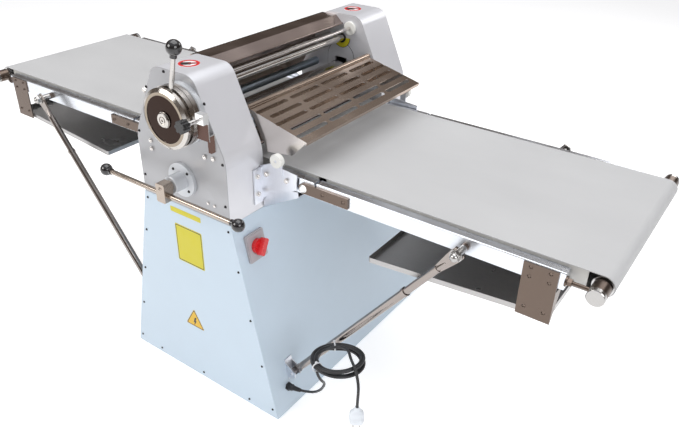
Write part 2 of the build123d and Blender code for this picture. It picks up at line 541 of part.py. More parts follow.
CAP -= cy(END_X, END_Z, -292, -250, 8.05)
CAP += cx(-275, END_Z, RAIL_X1, END_X - 15, 4.2)
CAP += Plane(origin=(RAIL_X1, -275, END_Z), z_dir=(1, 0, 0)) * Cylinder(11, 4, align=(Align.CENTER, Align.CENTER, Align.MIN))
CAP += Plane(origin=(RAIL_X1 + 4, -275, END_Z), z_dir=(1, 0, 0)) * extrude(RegularPolygon(8.5, 6), amount=9)
fit_n = [HP, BPt, STUD, CAP]
fit_r = fit_n + [my(s) for s in fit_n]
out("right_table_fittings", fit_r)
out("left_table_fittings", [mx(s) for s in fit_r])

TR_A = math.degrees(math.atan2(38.0, 433.0))
tl = 433.0 / math.cos(math.radians(TR_A))
tray = bx(0, tl, -274.6, 274.6, 0, 13)
tray = fillet(tray.edges().filter_by(Axis.Z), 6)
tray -= bx(1.5, tl - 1.5, -273.1, 273.1, 1.5, 14)
tray = Pos(475, 0, 549) * Rot(0, -TR_A, 0) * tray
out("right_table_tray", tray)
out("left_table_tray", mx(tray))

# ------------------------------------------------------------------ struts --
SL = math.hypot(STUD_X - FOOT_X, STUD_Z - FOOT_Z)
sp = Plane(origin=(FOOT_X, -STRUT_Y, FOOT_Z), x_dir=(STUD_X - FOOT_X, 0, STUD_Z - FOOT_Z), z_dir=(0, -1, 0))
# local x runs up the strut, local y is square to it, local z points outwards
s_flat = make_face(Polyline((-8, -6.5), (-3, -10), (34, -11), (46, -7), (46, 7), (34, 11), (-3, 10), (-8, 6.5), close=True))
s0 = Pos(0, 0, -3) * extrude(s_flat, amount=6)
s0 -= Pos(0, 0, -5) * Cylinder(5.06, 10, align=(Align.CENTER, Align.CENTER, Align.MIN))


def tube_x(x0, x1, r0, r1=None):
    r1 = r0 if r1 is None else r1
    c = Cylinder(r0, x1 - x0) if r0 == r1 else Cone(r0, r1, x1 - x0)
    return Pos((x0 + x1) / 2, 0, 0) * Rot(0, 90, 0) * c


s0 += tube_x(34, 48, 6.5, 10.0) + tube_x(48, 534, 10.0)
s0 += tube_x(527, 536, 11.4) + tube_x(536, SL - 62, 9.0)
fork = make_face(Polyline((SL - 70, -8), (SL - 34, -12), (SL - 10, -14.6), (SL + 10, -14.6), (SL + 13, -12), (SL + 13, 12),
                          (SL + 10, 14.6), (SL - 10, 14.6), (SL - 34, 12), (SL - 70, 8), close=True))
fk_s = Pos(0, 0, -3) * extrude(fork, amount=6)
fk_s -= Pos(0, 0, -5) * (Pos(SL, 0, 0) * Cylinder(8.9, 12, align=(Align.CENTER, Align.CENTER, Align.MIN)))
fk_s -= Pos(SL + 20, 0, 0) * Box(40, 17.8, 12)
s0 += fk_s + tube_x(SL - 76, SL - 36, 9.0, 3.6)
strut = sp * s0
out("strut_right_near", strut)
out("strut_right_far", my(strut))
out("strut_left_near", mx(strut))
out("strut_left_far", my(mx(strut)))

# ------------------------------------------------------------------ guards --
GW = 262.0
ga_ = math.atan2(827 - 785.5, 283.5 - 109)
gl = 179.5
gp = bx(0, gl, -GW, GW, -1.5, 0)
rows = 5
for r_ in range(rows):
    x0 = 16 + r_ * 32
    n_ = 4
    for c_ in range(n_):
        w_ = 2 * GW / n_ - 26
        yc = -GW + (c_ + 0.5) * (2 * GW / n_) + (8 if r_ % 2 else -8)
        gp -= bx(x0, x0 + 13, yc - w_ / 2, yc + w_ / 2, -3, 2)
        gp -= Pos(x0 + 6.5, yc - w_ / 2, 0) * Cylinder(6.5, 8) + Pos(x0 + 6.5, yc + w_ / 2, 0) * Cylinder(6.5, 8)
gp += bx(gl - 1.5, gl, -GW, GW, -9, 0)
gp = Pos(109, 0, 839) * Rot(0, math.degrees(ga_), 0) * gp
wing = prism([(111, 837.5), (162, 740), (239, 752), (268, 781), (282.5, 796.5), (282.0, 797.4)], -GW, -GW + 1.5)
apron = prism([(109.5, 838.2), (145, 769), (143.7, 768.3), (108, 837.6)], -GW + 0.5, GW - 0.5)
guard = gp + wing + my(wing) + apron
guard += cy(GUARD_X, GUARD_Z, -282.5, 282.5, 5.0)
guard += cy(GUARD_X, GUARD_Z, -GW, GW, 8.5) + bx(GUARD_X + 4, 112, -GW, GW, 837.3, 838.8)
out("guard_right", guard)
out("guard_left", mx(guard))

# nylon rest discs for the guards, on pins through the table brackets
rd = cy(REST_X, REST_Z, -302, -288.3, 17.0) - cy(REST_X, REST_Z, -303, -287, 4)
out("guard_rest_discs", four(rd))

# --------------------------------------------------------------- fasteners --
scr = []
for x, z in ((-94, 889), (101, 892), (-25, 941), (144, 752), (-143, 763), (-143, 640), (143, 640), (-100, 604),
             (100, 604)):
    scr.append(button(x, -400, z, (0, -1, 0), 4.0))
for x, z in ((-128, 796), (128, 796), (-95, 868), (95, 868), (-48, 930), (48, 930), (-143, 640), (143, 640),
             (-100, 604), (100, 604)):
    scr.append(button(x, 400, z, (0, 1, 0), 4.0))
for t in (45, 135, 225, 315):
    a = math.radians(t)
    scr.append(button(CLUTCH_X + 34.5 * math.cos(a), -408, CLUTCH_Z + 34.5 * math.sin(a), (0, -1, 0), 4.0))
for z in (40, 180, 320, 460, 570):
    for s in (-1, 1):
        scr.append(button(s * (xp(z) - 12), -400, z, (0, -1, 0), 3.6))
        scr.append(button(s * (xp(z) - 12), 400, z, (0, 1, 0), 3.6))
for x in (-180, 0, 180):
    scr.append(button(x, -400, 28, (0, -1, 0), 3.6))
out("cover_screws", scr)

blt = []
for z in (686, 638):
    blt += four(hexbolt(158.2, -300, z, (1, 0, 0), 7))
for x, z in ((177, 693), (240, 694)):
    blt += four(hexbolt(x, -285, z, (0, -1, 0), 7))
for x, z in ((-101, 748), (-101, 726), (88, 757), (116, 760)):
    blt.append(hexbolt(x, -400, z, (0, -1, 0), 6))
for x, z in BASE_BOLTS:
    blt.append(hexbolt(x, -400, z, (0, -1, 0), 4.2))
# stop pin on the left shoulder of the near casing
sh_n = Vector(HEAD_TOP_Z - HEAD_SHOULDER_Z, 0, HEAD_SHOULDER_X - HEAD_TOP_X).normalized()
blt.append(Plane(origin=(-HEAD_SHOULDER_X + (866 - HEAD_SHOULDER_Z) * (HEAD_SHOULDER_X - HEAD_TOP_X) / (
    HEAD_TOP_Z - HEAD_SHOULDER_Z), -386, 866), z_dir=(-sh_n.X, 0, sh_n.Z)) * (
    Pos(0, 0, 0.05) * Cylinder(4.0, 10, align=(Align.CENTER, Align.CENTER, Align.MIN))
    + Pos(0, 0, 9) * Cylinder(7.0, 9, align=(Align.CENTER, Align.CENTER, Align.MIN))))
out("bracket_bolts", blt)

# -------------------------------------------------------------- power cord --
gl_o = Vector(xp(79.0), -336, 79.0)
gpl = Plane(origin=gl_o, x_dir=(0, 1, 0), z_dir=PAN_N)
gland = extrude(RegularPolygon(12, 6), amount=6) + Cylinder(9.5, 16, align=(Align.CENTER, Align.CENTER, Align.MIN))
gland += Pos(0, 0, 15.9) * Cone(9.0, 5.4, 10.1, align=(Align.CENTER, Align.CENTER, Align.MIN))
out("cable_gland", gpl * gland)
g_end = gl_o + PAN_N * 26.0


def tube(pts, d, label):
    """Round cord along straight runs joined by tangent arcs."""
    v = [Vector(*p) for p in pts]
    radii = []
    for i in range(1, len(v) - 1):
        a, b = v[i] - v[i - 1], v[i + 1] - v[i]
        th = math.radians(a.get_angle(b))
        radii.append(0.45 * min(a.length, b.length) / math.tan(th / 2))
    path = FilletPolyline(*v, radius=radii)
    t0 = (v[1] - v[0]).normalized()
    s = sweep(Plane(origin=v[0], z_dir=t0) * Circle(d / 2), path=path)
    print(label, "length %.1f" % path.length, "volume ratio %.4f" % (
        s.volume / (math.pi * d * d / 4 * path.length)), "radii", ["%.0f" % r for r in radii])
    return s, path.length


COIL_C = Vector(470, -383.5, 320.5)
COIL_R, COIL_B = 60.5, 10.0
COIL_N = Vector(-0.091, 0.127, 0.988).normalized()
coil_pl = Plane(origin=COIL_C, x_dir=(0.812, 0.584, 0), z_dir=COIL_N)
out("power_lead_coil", coil_pl * Torus(COIL_R, COIL_B))

LEAD = [tuple(g_end), tuple(g_end + PAN_N * 14), (334, -334, 95), (362, -338, 113), (388, -347, 142), (410, -361, 178),
        (427, -378, 216), (437, -396, 252), (436, -409, 281), (423, -418, 307.5)]
lead, l1 = tube(LEAD, CORD_D, "lead")
out("power_lead", lead)
TAIL = [(431, -347.5, 311.8), (459, -362, 322), (482, -375, 332), (506, -388, 341), (530, -405, 344),
        (548, -418, 333), (559, -428, 309), (561, -431, 281), (561, -431, 258)]
tail, l2 = tube(TAIL, CORD_D, "tail")
out("power_lead_tail", tail)

pb = extrude(fillet(Rectangle(34, 22).vertices(), 8), amount=-34)
pb += Pos(0, 0, -34) * extrude(fillet(Rectangle(36, 30).vertices(), 8), amount=-8)
pb += Cylinder(6.0, 12, align=(Align.CENTER, Align.CENTER, Align.MIN))
for a_ in (-8, 8):
    pb += Pos(a_, 0, -41.5) * extrude(Rectangle(1.6, 6), amount=-15)
out("power_plug", Plane(origin=(561, -431, 246), x_dir=(0.8, 0.6, 0), z_dir=(0, 0, 1)) * pb)
print("cord tubes", l1, l2)
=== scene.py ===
import bpy
import bmesh
import json
import math
from mathutils import Matrix, Vector


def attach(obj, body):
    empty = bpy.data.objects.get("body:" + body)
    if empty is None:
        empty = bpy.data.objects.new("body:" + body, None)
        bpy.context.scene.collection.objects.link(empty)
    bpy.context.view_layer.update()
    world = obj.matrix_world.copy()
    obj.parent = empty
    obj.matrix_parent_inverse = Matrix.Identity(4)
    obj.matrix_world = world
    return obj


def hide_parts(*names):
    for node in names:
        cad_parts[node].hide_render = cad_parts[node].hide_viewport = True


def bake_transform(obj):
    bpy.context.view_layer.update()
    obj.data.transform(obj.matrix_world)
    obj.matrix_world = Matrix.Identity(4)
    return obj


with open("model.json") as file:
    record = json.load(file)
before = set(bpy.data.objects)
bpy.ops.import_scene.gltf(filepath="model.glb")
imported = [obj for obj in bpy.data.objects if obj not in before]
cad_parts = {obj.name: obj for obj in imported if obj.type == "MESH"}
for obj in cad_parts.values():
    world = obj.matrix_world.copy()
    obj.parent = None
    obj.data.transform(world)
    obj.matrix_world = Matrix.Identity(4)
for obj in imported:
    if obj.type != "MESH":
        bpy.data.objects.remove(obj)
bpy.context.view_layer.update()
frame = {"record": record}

YO = 0.05376        # middle of the rollers in the row frame


def V(x, y, z):
    """A point given in millimetres about the middle of the rollers."""
    return Vector((x / 1000.0, y / 1000.0 + YO, z / 1000.0))


# --------------------------------------------------------------- camera ----
cam_data = bpy.data.cameras.new("view_camera")
cam = bpy.data.objects.new("view_camera", cam_data)
bpy.context.scene.collection.objects.link(cam)
cam_data.sensor_width = 36.0
cam_data.sensor_fit = "HORIZONTAL"
cam_data.lens = 683.55 / 679.0 * 36.0
cam_data.clip_end = 60.0
RIGHT = Vector((0.8126828804, 0.5824452180, 0.0174385762))
DOWN = Vector((0.3066292457, -0.4020067141, -0.8627682814))
FWD = Vector((-0.4955048350, 0.7065041896, -0.5052987122))
m = Matrix.Identity(4)
for i in range(3):
    m[i][0], m[i][1], m[i][2] = RIGHT[i], -DOWN[i], -FWD[i]
m.translation = V(1183.98689, -1407.14099, 1459.78645)
cam.matrix_world = m
bpy.context.scene.camera = cam


# ------------------------------------------------------------ materials ----
class Mat:
    """Small helper around one node tree."""

    def __init__(self, name, base, metallic=0.0, rough=0.5, **sockets):
        self.mat = bpy.data.materials.new(name)
        self.mat.use_nodes = True
        self.nt = self.mat.node_tree
        self.nt.nodes.clear()
        self.out = self.n("ShaderNodeOutputMaterial")
        self.bsdf = self.n("ShaderNodeBsdfPrincipled")
        self.l(self.bsdf, "BSDF", self.out, "Surface")
        self.bsdf.inputs["Base Color"].default_value = (*base, 1)
        self.bsdf.inputs["Metallic"].default_value = metallic
        self.bsdf.inputs["Roughness"].default_value = rough
        for k, v in sockets.items():
            self.bsdf.inputs[k.replace("_", " ")].default_value = v
        self.tc = self.n("ShaderNodeTexCoord")
        self.normal = None
        self.mat.diffuse_color = (*base, 1)

    def n(self, kind, **props):
        k = self.nt.nodes.new(kind)
        for a, b in props.items():
            setattr(k, a, b)
        return k

    def l(self, a, ao, b, bi):
        self.nt.links.new(a.outputs[ao], b.inputs[bi])

    def coords(self, scale):
        mp = self.n("ShaderNodeMapping")
        mp.inputs["Scale"].default_value = scale if hasattr(scale, "__len__") else (scale,) * 3
        self.l(self.tc, "Object", mp, "Vector")
        return mp

    def noise(self, scale=(1, 1, 1), detail=3.0, rough=0.5):
        t = self.n("ShaderNodeTexNoise")
        t.inputs["Scale"].default_value = 1.0
        t.inputs["Detail"].default_value = detail
        t.inputs["Roughness"].default_value = rough
        self.l(self.coords(scale), "Vector", t, "Vector")
        return t

    def colour(self, tex, a, b, lo=0.35, hi=0.65, out="Fac"):
        r = self.n("ShaderNodeValToRGB")
        r.color_ramp.elements[0].position = lo
        r.color_ramp.elements[0].color = (*a, 1)
        r.color_ramp.elements[1].position = hi
        r.color_ramp.elements[1].color = (*b, 1)
        self.l(tex, out, r, "Fac")
        self.l(r, "Color", self.bsdf, "Base Color")
        return r

    def roughness(self, tex, lo, hi, out="Fac", a=0.35, b=0.65):
        r = self.n("ShaderNodeMapRange")
        r.inputs["From Min"].default_value = a
        r.inputs["From Max"].default_value = b
        r.inputs["To Min"].default_value = lo
        r.inputs["To Max"].default_value = hi
        self.l(tex, out, r, "Value")
        self.l(r, "Result", self.bsdf, "Roughness")

    def bump(self, tex, strength, dist=0.0005, out="Fac"):
        b = self.n("ShaderNodeBump")
        b.inputs["Strength"].default_value = strength
        b.inputs["Distance"].default_value = dist
        self.l(tex, out, b, "Height")
        if self.normal is not None:
            self.l(self.normal, "Normal", b, "Normal")
        self.normal = b
        self.l(b, "Normal", self.bsdf, "Normal")


def painted(name, c, rough, metallic=0.0, peel=260.0, strength=0.06, tint=0.05, **k):
    p = Mat(name, c, metallic, rough, **k)
    big = p.noise((3.0, 3.0, 3.0), 4.0, 0.6)
    d = tuple(x * (1 - tint) for x in c)
    p.colour(big, d, c)
    p.roughness(big, rough - 0.05, rough + 0.07)
    p.bump(p.noise((peel, peel, peel), 2.0), strength, 0.0004)
    return p.mat


def brushed(name, c, rough, along="Y", depth=0.12, contrast=0.16, **k):
    """Sheet or bar with fine lines along one axis."""
    p = Mat(name, c, 1.0, rough, **k)
    s = {"X": (6, 900, 900), "Y": (900, 6, 900), "Z": (900, 900, 6)}[along]
    lines = p.noise(s, 4.0, 0.7)
    p.colour(lines, tuple(x * (1 - contrast) for x in c), tuple(min(1, x * (1 + contrast * 0.5)) for x in c), 0.3, 0.7)
    p.roughness(p.noise((7, 7, 7), 3.0), rough - 0.05, rough + 0.09)
    p.bump(lines, depth, 0.0003)
    return p.mat


def polished(name, c, rough, **k):
    p = Mat(name, c, 1.0, rough, **k)
    t = p.noise((14, 14, 14), 5.0, 0.65)
    p.roughness(t, max(0.03, rough - 0.04), rough + 0.07)
    p.colour(t, tuple(x * 0.93 for x in c), c)
    p.bump(p.noise((900, 900, 900), 2.0), 0.02, 0.0002)
    return p.mat


M = {}
M["head_paint"] = painted("satin_metallic_paint", (0.68, 0.685, 0.72), 0.34, metallic=0.25, peel=700, strength=0.05,
                          Coat_Weight=0.3, Coat_Roughness=0.22)
M["white_paint"] = painted("white_powder_coat", (0.505, 0.605, 0.70), 0.36, peel=420, strength=0.08, tint=0.04, Coat_Weight=0.15, Coat_Roughness=0.2)
M["stainless"] = brushed("brushed_stainless_sheet", (0.62, 0.57, 0.53), 0.22)
M["polished"] = polished("polished_steel", (0.72, 0.69, 0.66), 0.14)
M["press_steel"] = brushed("ground_roller_steel", (0.78, 0.77, 0.75), 0.16, "Y", 0.04, 0.05)
M["grey_sheet"] = painted("bed_sheet", (0.60, 0.59, 0.565), 0.45, metallic=0.15, peel=500, strength=0.06)
M["black_ball"] = polished("x", (0.5, 0.5, 0.5), 0.1)
p = Mat("phenolic_ball", (0.012, 0.011, 0.012), 0.0, 0.09, Coat_Weight=0.6, Coat_Roughness=0.04)
p.roughness(p.noise((60, 60, 60)), 0.06, 0.16)
M["black_ball"] = p.mat
p = Mat("moulded_black", (0.022, 0.022, 0.024), 0.0, 0.38)
p.bump(p.noise((1500, 1500, 1500), 2.0), 0.10, 0.0002)
p.roughness(p.noise((40, 40, 40)), 0.33, 0.46)
M["black_plastic"] = p.mat
p = Mat("black_oxide_steel", (0.028, 0.026, 0.027), 0.75, 0.33)
p.roughness(p.noise((300, 300, 300)), 0.25, 0.45)
M["black_steel"] = p.mat
p = Mat("machined_nylon", (0.80, 0.80, 0.765), 0.0, 0.42)
p.bsdf.inputs["Subsurface Weight"].default_value = 0.12
p.bsdf.inputs["Subsurface Radius"].default_value = (0.004, 0.004, 0.004)
p.bump(p.noise((500, 60, 500), 3.0), 0.10, 0.0003)
p.roughness(p.noise((50, 50, 50)), 0.36, 0.5)
M["nylon"] = p.mat
p = Mat("red_moulding", (0.62, 0.018, 0.022), 0.0, 0.28, Coat_Weight=0.2)
p.bump(p.noise((1200, 1200, 1200)), 0.05, 0.0002)
p.roughness(p.noise((90, 90, 90)), 0.22, 0.36)
M["red_plastic"] = p.mat
M["switch_grey"] = painted("switch_plate_grey", (0.40, 0.385, 0.41), 0.45, peel=1200, strength=0.08)
p = Mat("cord_rubber", (0.018, 0.018, 0.020), 0.0, 0.46)
p.bump(p.noise((420, 420, 420), 3.0), 0.14, 0.0003)
p.roughness(p.noise((30, 30, 30)), 0.38, 0.55)
M["rubber"] = p.mat
M["motor_paint"] = painted("motor_enamel", (0.07, 0.12, 0.2), 0.4, peel=500, strength=0.1)
p = Mat("plug_moulding", (0.70, 0.74, 0.79), 0.0, 0.35, Coat_Weight=0.15)
p.bump(p.noise((900, 900, 900)), 0.06, 0.0002)
p.roughness(p.noise((80, 80, 80)), 0.28, 0.42)
M["plug_white"] = p.mat
p = Mat("machined_iron", (0.20, 0.20, 0.21), 0.9, 0.45)
p.bump(p.noise((300, 300, 300), 4.0), 0.15, 0.0004)
p.roughness(p.noise((60, 60, 60)), 0.36, 0.55)
M["bearing"] = p.mat


def regions(mat, rules):
    """Colours by place on one material. A rule is (colour, tests, roughness or None); a test is (what, op, value) with < or > or ~ (a ramp between two values),
    where what is X, Y, Z, |X|, |Y|, nx, ny, nz or (cx, cz) for the distance from a line along Y, in metres."""
    nt_ = mat.node_tree
    bs = [k for k in nt_.nodes if k.type == "BSDF_PRINCIPLED"][0]
    tc_ = nt_.nodes.new("ShaderNodeTexCoord")
    sep = nt_.nodes.new("ShaderNodeSeparateXYZ")
    nt_.links.new(tc_.outputs["Object"], sep.inputs["Vector"])
    sen = nt_.nodes.new("ShaderNodeSeparateXYZ")
    nt_.links.new(tc_.outputs["Normal"], sen.inputs["Vector"])

    def mth(op, a_, b_=None):
        k = nt_.nodes.new("ShaderNodeMath")
        k.operation = op
        for i, q in enumerate((a_, b_)):
            if q is None:
                continue
            if isinstance(q, (int, float)):
                k.inputs[i].default_value = q
            else:
                nt_.links.new(q, k.inputs[i])
        return k.outputs[0]

    def value(what):
        if isinstance(what, tuple):
            x_ = mth("ABSOLUTE", sep.outputs["X"]) if len(what) == 3 else sep.outputs["X"]
            dx = mth("SUBTRACT", x_, what[0])
            dz = mth("SUBTRACT", sep.outputs["Z"], what[1])
            return mth("SQRT", mth("ADD", mth("MULTIPLY", dx, dx), mth("MULTIPLY", dz, dz)))
        if what == "|X|":
            return mth("ABSOLUTE", sep.outputs["X"])
        if what == "|Y|":
            return mth("ABSOLUTE", mth("SUBTRACT", sep.outputs["Y"], YO))
        if what[0] == "n":
            return sen.outputs[what[1].upper()]
        return sep.outputs[what]

    def socket(inp):
        if inp.is_linked:
            return inp.links[0].from_socket
        return None
    for col, tests, rgh in rules:
        fac = None
        for what, op, val in tests:
            if op == "~":
                k = nt_.nodes.new("ShaderNodeMapRange")
                k.inputs["From Min"].default_value, k.inputs["From Max"].default_value = val
                nt_.links.new(value(what), k.inputs["Value"])
                k = k.outputs["Result"]
            else:
                k = mth("LESS_THAN" if op == "<" else "GREATER_THAN", value(what), val)
            fac = k if fac is None else mth("MULTIPLY", fac, k)
        mix = nt_.nodes.new("ShaderNodeMix")
        mix.data_type = "RGBA"
        nt_.links.new(fac, mix.inputs[0])
        src = socket(bs.inputs["Base Color"])
        if src is None:
            mix.inputs[6].default_value = bs.inputs["Base Color"].default_value
        else:
            nt_.links.new(src, mix.inputs[6])
        mix.inputs[7].default_value = (*col, 1)
        nt_.links.new(mix.outputs[2], bs.inputs["Base Color"])
        if rgh is not None:
            mx = nt_.nodes.new("ShaderNodeMix")
            mx.data_type = "FLOAT"
            nt_.links.new(fac, mx.inputs[0])
            src = socket(bs.inputs["Roughness"])
            if src is None:
                mx.inputs[2].default_value = bs.inputs["Roughness"].default_value
            else:
                nt_.links.new(src, mx.inputs[2])
            mx.inputs[3].default_value = rgh
            nt_.links.new(mx.outputs[0], bs.inputs["Roughness"])
    return mat


def turned(name, c, rough, cx, cz, rings=1500.0, depth=0.12):
    """Turned face: fine rings about an axis along Y at (cx, cz), in metres."""
    p = Mat(name, c, 1.0, rough)
    sep = p.n("ShaderNodeSeparateXYZ")
    p.l(p.tc, "Object", sep, "Vector")
    dx = p.n("ShaderNodeMath", operation="SUBTRACT")
    dx.inputs[1].default_value = cx
    p.l(sep, "X", dx, 0)
    dz = p.n("ShaderNodeMath", operation="SUBTRACT")
    dz.inputs[1].default_value = cz
    p.l(sep, "Z", dz, 0)
    cmb = p.n("ShaderNodeCombineXYZ")
    p.l(dx, 0, cmb, "X")
    p.l(dz, 0, cmb, "Z")
    ln = p.n("ShaderNodeVectorMath", operation="LENGTH")
    p.l(cmb, 0, ln, 0)
    mu = p.n("ShaderNodeMath", operation="MULTIPLY")
    mu.inputs[1].default_value = rings
    p.l(ln, "Value", mu, 0)
    c2 = p.n("ShaderNodeCombineXYZ")
    p.l(mu, 0, c2, "X")
    mul_y = p.n("ShaderNodeMath", operation="MULTIPLY")
    mul_y.inputs[1].default_value = rings
    p.l(sep, "Y", mul_y, 0)
    p.l(mul_y, 0, c2, "Y")
    t = p.n("ShaderNodeTexNoise")
    t.inputs["Scale"].default_value = 1.0
    t.inputs["Detail"].default_value = 3.0
    p.l(c2, 0, t, "Vector")
    p.colour(t, tuple(x * 0.86 for x in c), c, 0.35, 0.65)
    p.bump(t, depth, 0.0002)
    p.roughness(p.noise((30, 30, 30)), rough - 0.05, rough + 0.08)
    return p.mat


def dial_material():
    """Turned dial: bright bevelled rim and hub, near-black face in the recess between them."""
    m_ = turned("dial_turned_steel", (0.58, 0.55, 0.52), 0.17, 0.030, 0.855)
    nt_ = m_.node_tree
    bs = [k for k in nt_.nodes if k.type == "BSDF_PRINCIPLED"][0]
    ramp = [k for k in nt_.nodes if k.type == "VALTORGB"][0]
    ln = [k for k in nt_.nodes if k.type == "VECT_MATH"][0]
    sep = [k for k in nt_.nodes if k.type == "SEPXYZ"][0]

    def cmp_(src, idx, op, val):
        k = nt_.nodes.new("ShaderNodeMath")
        k.operation = op
        nt_.links.new(src.outputs[idx], k.inputs[0])
        k.inputs[1].default_value = val
        return k
    inside = cmp_(ln, "Value", "LESS_THAN", 0.0569)
    outside = cmp_(ln, "Value", "GREATER_THAN", 0.0190)
    front = cmp_(sep, "Y", "LESS_THAN", -0.4585 + YO)
    a_ = nt_.nodes.new("ShaderNodeMath")
    a_.operation = "MULTIPLY"
    nt_.links.new(inside.outputs[0], a_.inputs[0])
    nt_.links.new(outside.outputs[0], a_.inputs[1])
    b_ = nt_.nodes.new("ShaderNodeMath")
    b_.operation = "MULTIPLY"
    nt_.links.new(a_.outputs[0], b_.inputs[0])
    nt_.links.new(front.outputs[0], b_.inputs[1])
    mix = nt_.nodes.new("ShaderNodeMix")
    mix.data_type = "RGBA"
    nt_.links.new(b_.outputs[0], mix.inputs[0])
    nt_.links.new(ramp.outputs["Color"], mix.inputs[6])
    mix.inputs[7].default_value = (0.030, 0.017, 0.013, 1)
    nt_.links.new(mix.outputs[2], bs.inputs["Base Color"])
    return m_


def plunger_material():
    """Black grip on a bright stem, split at the back of the grip."""
    p = Mat("plunger_grip_and_stem", (0.02, 0.02, 0.02), 0.0, 0.3)
    sep = p.n("ShaderNodeSeparateXYZ")
    p.l(p.tc, "Object", sep, "Vector")
    k = p.n("ShaderNodeMath", operation="GREATER_THAN")
    k.inputs[1].default_value = -0.4902 + YO
    p.l(sep, "Y", k, 0)
    r_ = p.n("ShaderNodeValToRGB")
    r_.color_ramp.interpolation = "CONSTANT"
    r_.color_ramp.elements[0].color = (0.02, 0.02, 0.021, 1)
    r_.color_ramp.elements[1].position = 0.5
    r_.color_ramp.elements[1].color = (0.72, 0.71, 0.70, 1)
    p.l(k, 0, r_, "Fac")
    p.l(r_, "Color", p.bsdf, "Base Color")
    p.l(k, 0, p.bsdf, "Metallic")
    p.roughness(p.noise((300, 300, 300)), 0.2, 0.34)
    p.bump(p.noise((900, 900, 900)), 0.05, 0.0002)
    return p.mat


def belt_material():
    p = Mat("woven_belt", (0.60, 0.60, 0.60), 0.0, 0.72, Sheen_Weight=0.15, Sheen_Roughness=0.5)
    wx = p.n("ShaderNodeTexWave", wave_type="BANDS", bands_direction="X")
    wx.inputs["Scale"].default_value = 1.0
    wy = p.n("ShaderNodeTexWave", wave_type="BANDS", bands_direction="Y")
    wy.inputs["Scale"].default_value = 1.0
    c = p.coords((320, 320, 320))
    p.l(c, "Vector", wx, "Vector")
    p.l(c, "Vector", wy, "Vector")
    mul = p.n("ShaderNodeMath", operation="MULTIPLY")
    p.l(wx, "Fac", mul, 0)
    p.l(wy, "Fac", mul, 1)
    big = p.noise((2.2, 5.0, 2.2), 5.0, 0.6)
    p.colour(big, (0.445, 0.447, 0.452), (0.49, 0.492, 0.495), 0.3, 0.7)
    p.bump(mul, 0.18, 0.0004, out=0)
    p.bump(p.noise((900, 900, 900), 2.0), 0.06, 0.0003)
    p.roughness(big, 0.64, 0.80)
    return p.mat


M["belt"] = belt_material()
M["turned_steel"] = brushed("turned_steel", (0.55, 0.545, 0.54), 0.24, "Y", 0.05, 0.08)
p = Mat("safety_yellow", (0.56, 0.50, 0.014), 0.0, 0.42)
p.roughness(p.noise((40, 40, 40)), 0.36, 0.5)
p.bump(p.noise((800, 800, 800)), 0.04, 0.0002)
M["yellow"] = p.mat
p = Mat("safety_amber", (0.68, 0.42, 0.02), 0.0, 0.42)
p.roughness(p.noise((40, 40, 40)), 0.36, 0.5)
p.bump(p.noise((800, 800, 800)), 0.04, 0.0002)
M["amber"] = p.mat
p = Mat("label_dark_red", (0.30, 0.03, 0.03), 0.0, 0.4)
p.roughness(p.noise((40, 40, 40)), 0.34, 0.48)
M["label_dark_red"] = p.mat
p = Mat("tie_grey", (0.62, 0.63, 0.65), 0.0, 0.4)
p.roughness(p.noise((90, 90, 90)), 0.34, 0.48)
M["tie_grey"] = p.mat
p = Mat("label_black", (0.02, 0.02, 0.02), 0.0, 0.4)
p.roughness(p.noise((40, 40, 40)), 0.34, 0.48)
M["label_black"] = p.mat
p = Mat("label_red", (0.60, 0.02, 0.02), 0.0, 0.4)
p.roughness(p.noise((40, 40, 40)), 0.34, 0.48)
M["label_red"] = p.mat
p = Mat("label_white", (0.80, 0.80, 0.80), 0.0, 0.4)
p.roughness(p.noise((40, 40, 40)), 0.34, 0.48)
M["label_white"] = p.mat
M["dial_steel"] = dial_material()
M["boss_steel"] = turned("boss_satin_steel", (0.60, 0.60, 0.61), 0.33, 0.003, 0.6715, 900.0, 0.06)
M["plunger"] = plunger_material()
M["tray_sheet"] = brushed("tray_sheet_steel", (0.44, 0.43, 0.425), 0.30, "X", 0.08, 0.12)
# cover sheet: the brown tint of the base colour is a painted reflection on the polished sheet
M["cover_sheet"] = brushed("polished_cover_sheet", (0.41, 0.335, 0.305), 0.17, "Y", 0.05, 0.10)

# guard sheet: the dark brown base is a painted reflection, and faces turned toward ±Y get a light beige grey, painted
# light by facing direction
M["guard_steel"] = regions(brushed("guard_sheet_painted_reflection_and_light", (0.42, 0.335, 0.275), 0.20, "Y", 0.05, 0.10),
                           [((0.66, 0.62, 0.59), [("ny", "<", -0.5)], 0.24), ((0.66, 0.62, 0.59), [("ny", ">", 0.5)], 0.24)])
# strut tubes: the dark brownish base colour is a painted reflection on the polished tube
M["strut_tube"] = polished("strut_polished_tube", (0.33, 0.295, 0.275), 0.15)
M["lever_bar"] = polished("clutch_bar_steel", (0.41, 0.35, 0.30), 0.16)
M["lever_dial"] = polished("dial_lever_steel", (0.55, 0.53, 0.51), 0.16)
M["bracket_sheet"] = brushed("bracket_sheet", (0.76, 0.78, 0.83), 0.30, "Z", 0.04, 0.06)
M["rail_sheet"] = brushed("rail_sheet", (0.72, 0.75, 0.80), 0.26, "X", 0.05, 0.08)
M["boss_paint"] = painted("boss_grey_paint", (0.58, 0.60, 0.63), 0.30, metallic=0.3, peel=700, strength=0.05)
p = Mat("tie_rod_steel", (0.66, 0.63, 0.61), 1.0, 0.12)
p.roughness(p.noise((14, 14, 14), 4.0), 0.09, 0.18)
M["rod_steel"] = regions(p.mat, [((0.42, 0.50, 0.58), [("|X|", ">", 0.072), ("Z", ">", 0.70)], 0.34)])
# table fittings: the dark brown base of the hinge plates is a painted dark reflection; parts beyond |Y| 0.2865 are
# lighter steel and the round caps white
M["fittings"] = regions(polished("hinge_plate_painted_dark_reflection", (0.15, 0.115, 0.095), 0.28),
                        [((0.45, 0.44, 0.43), [("|Y|", ">", 0.2865)], 0.25),
                         ((0.92, 0.92, 0.90), [((0.288, 0.687, 1), "<", 0.0115), ("|Y|", ">", 0.2832)], 0.45)])
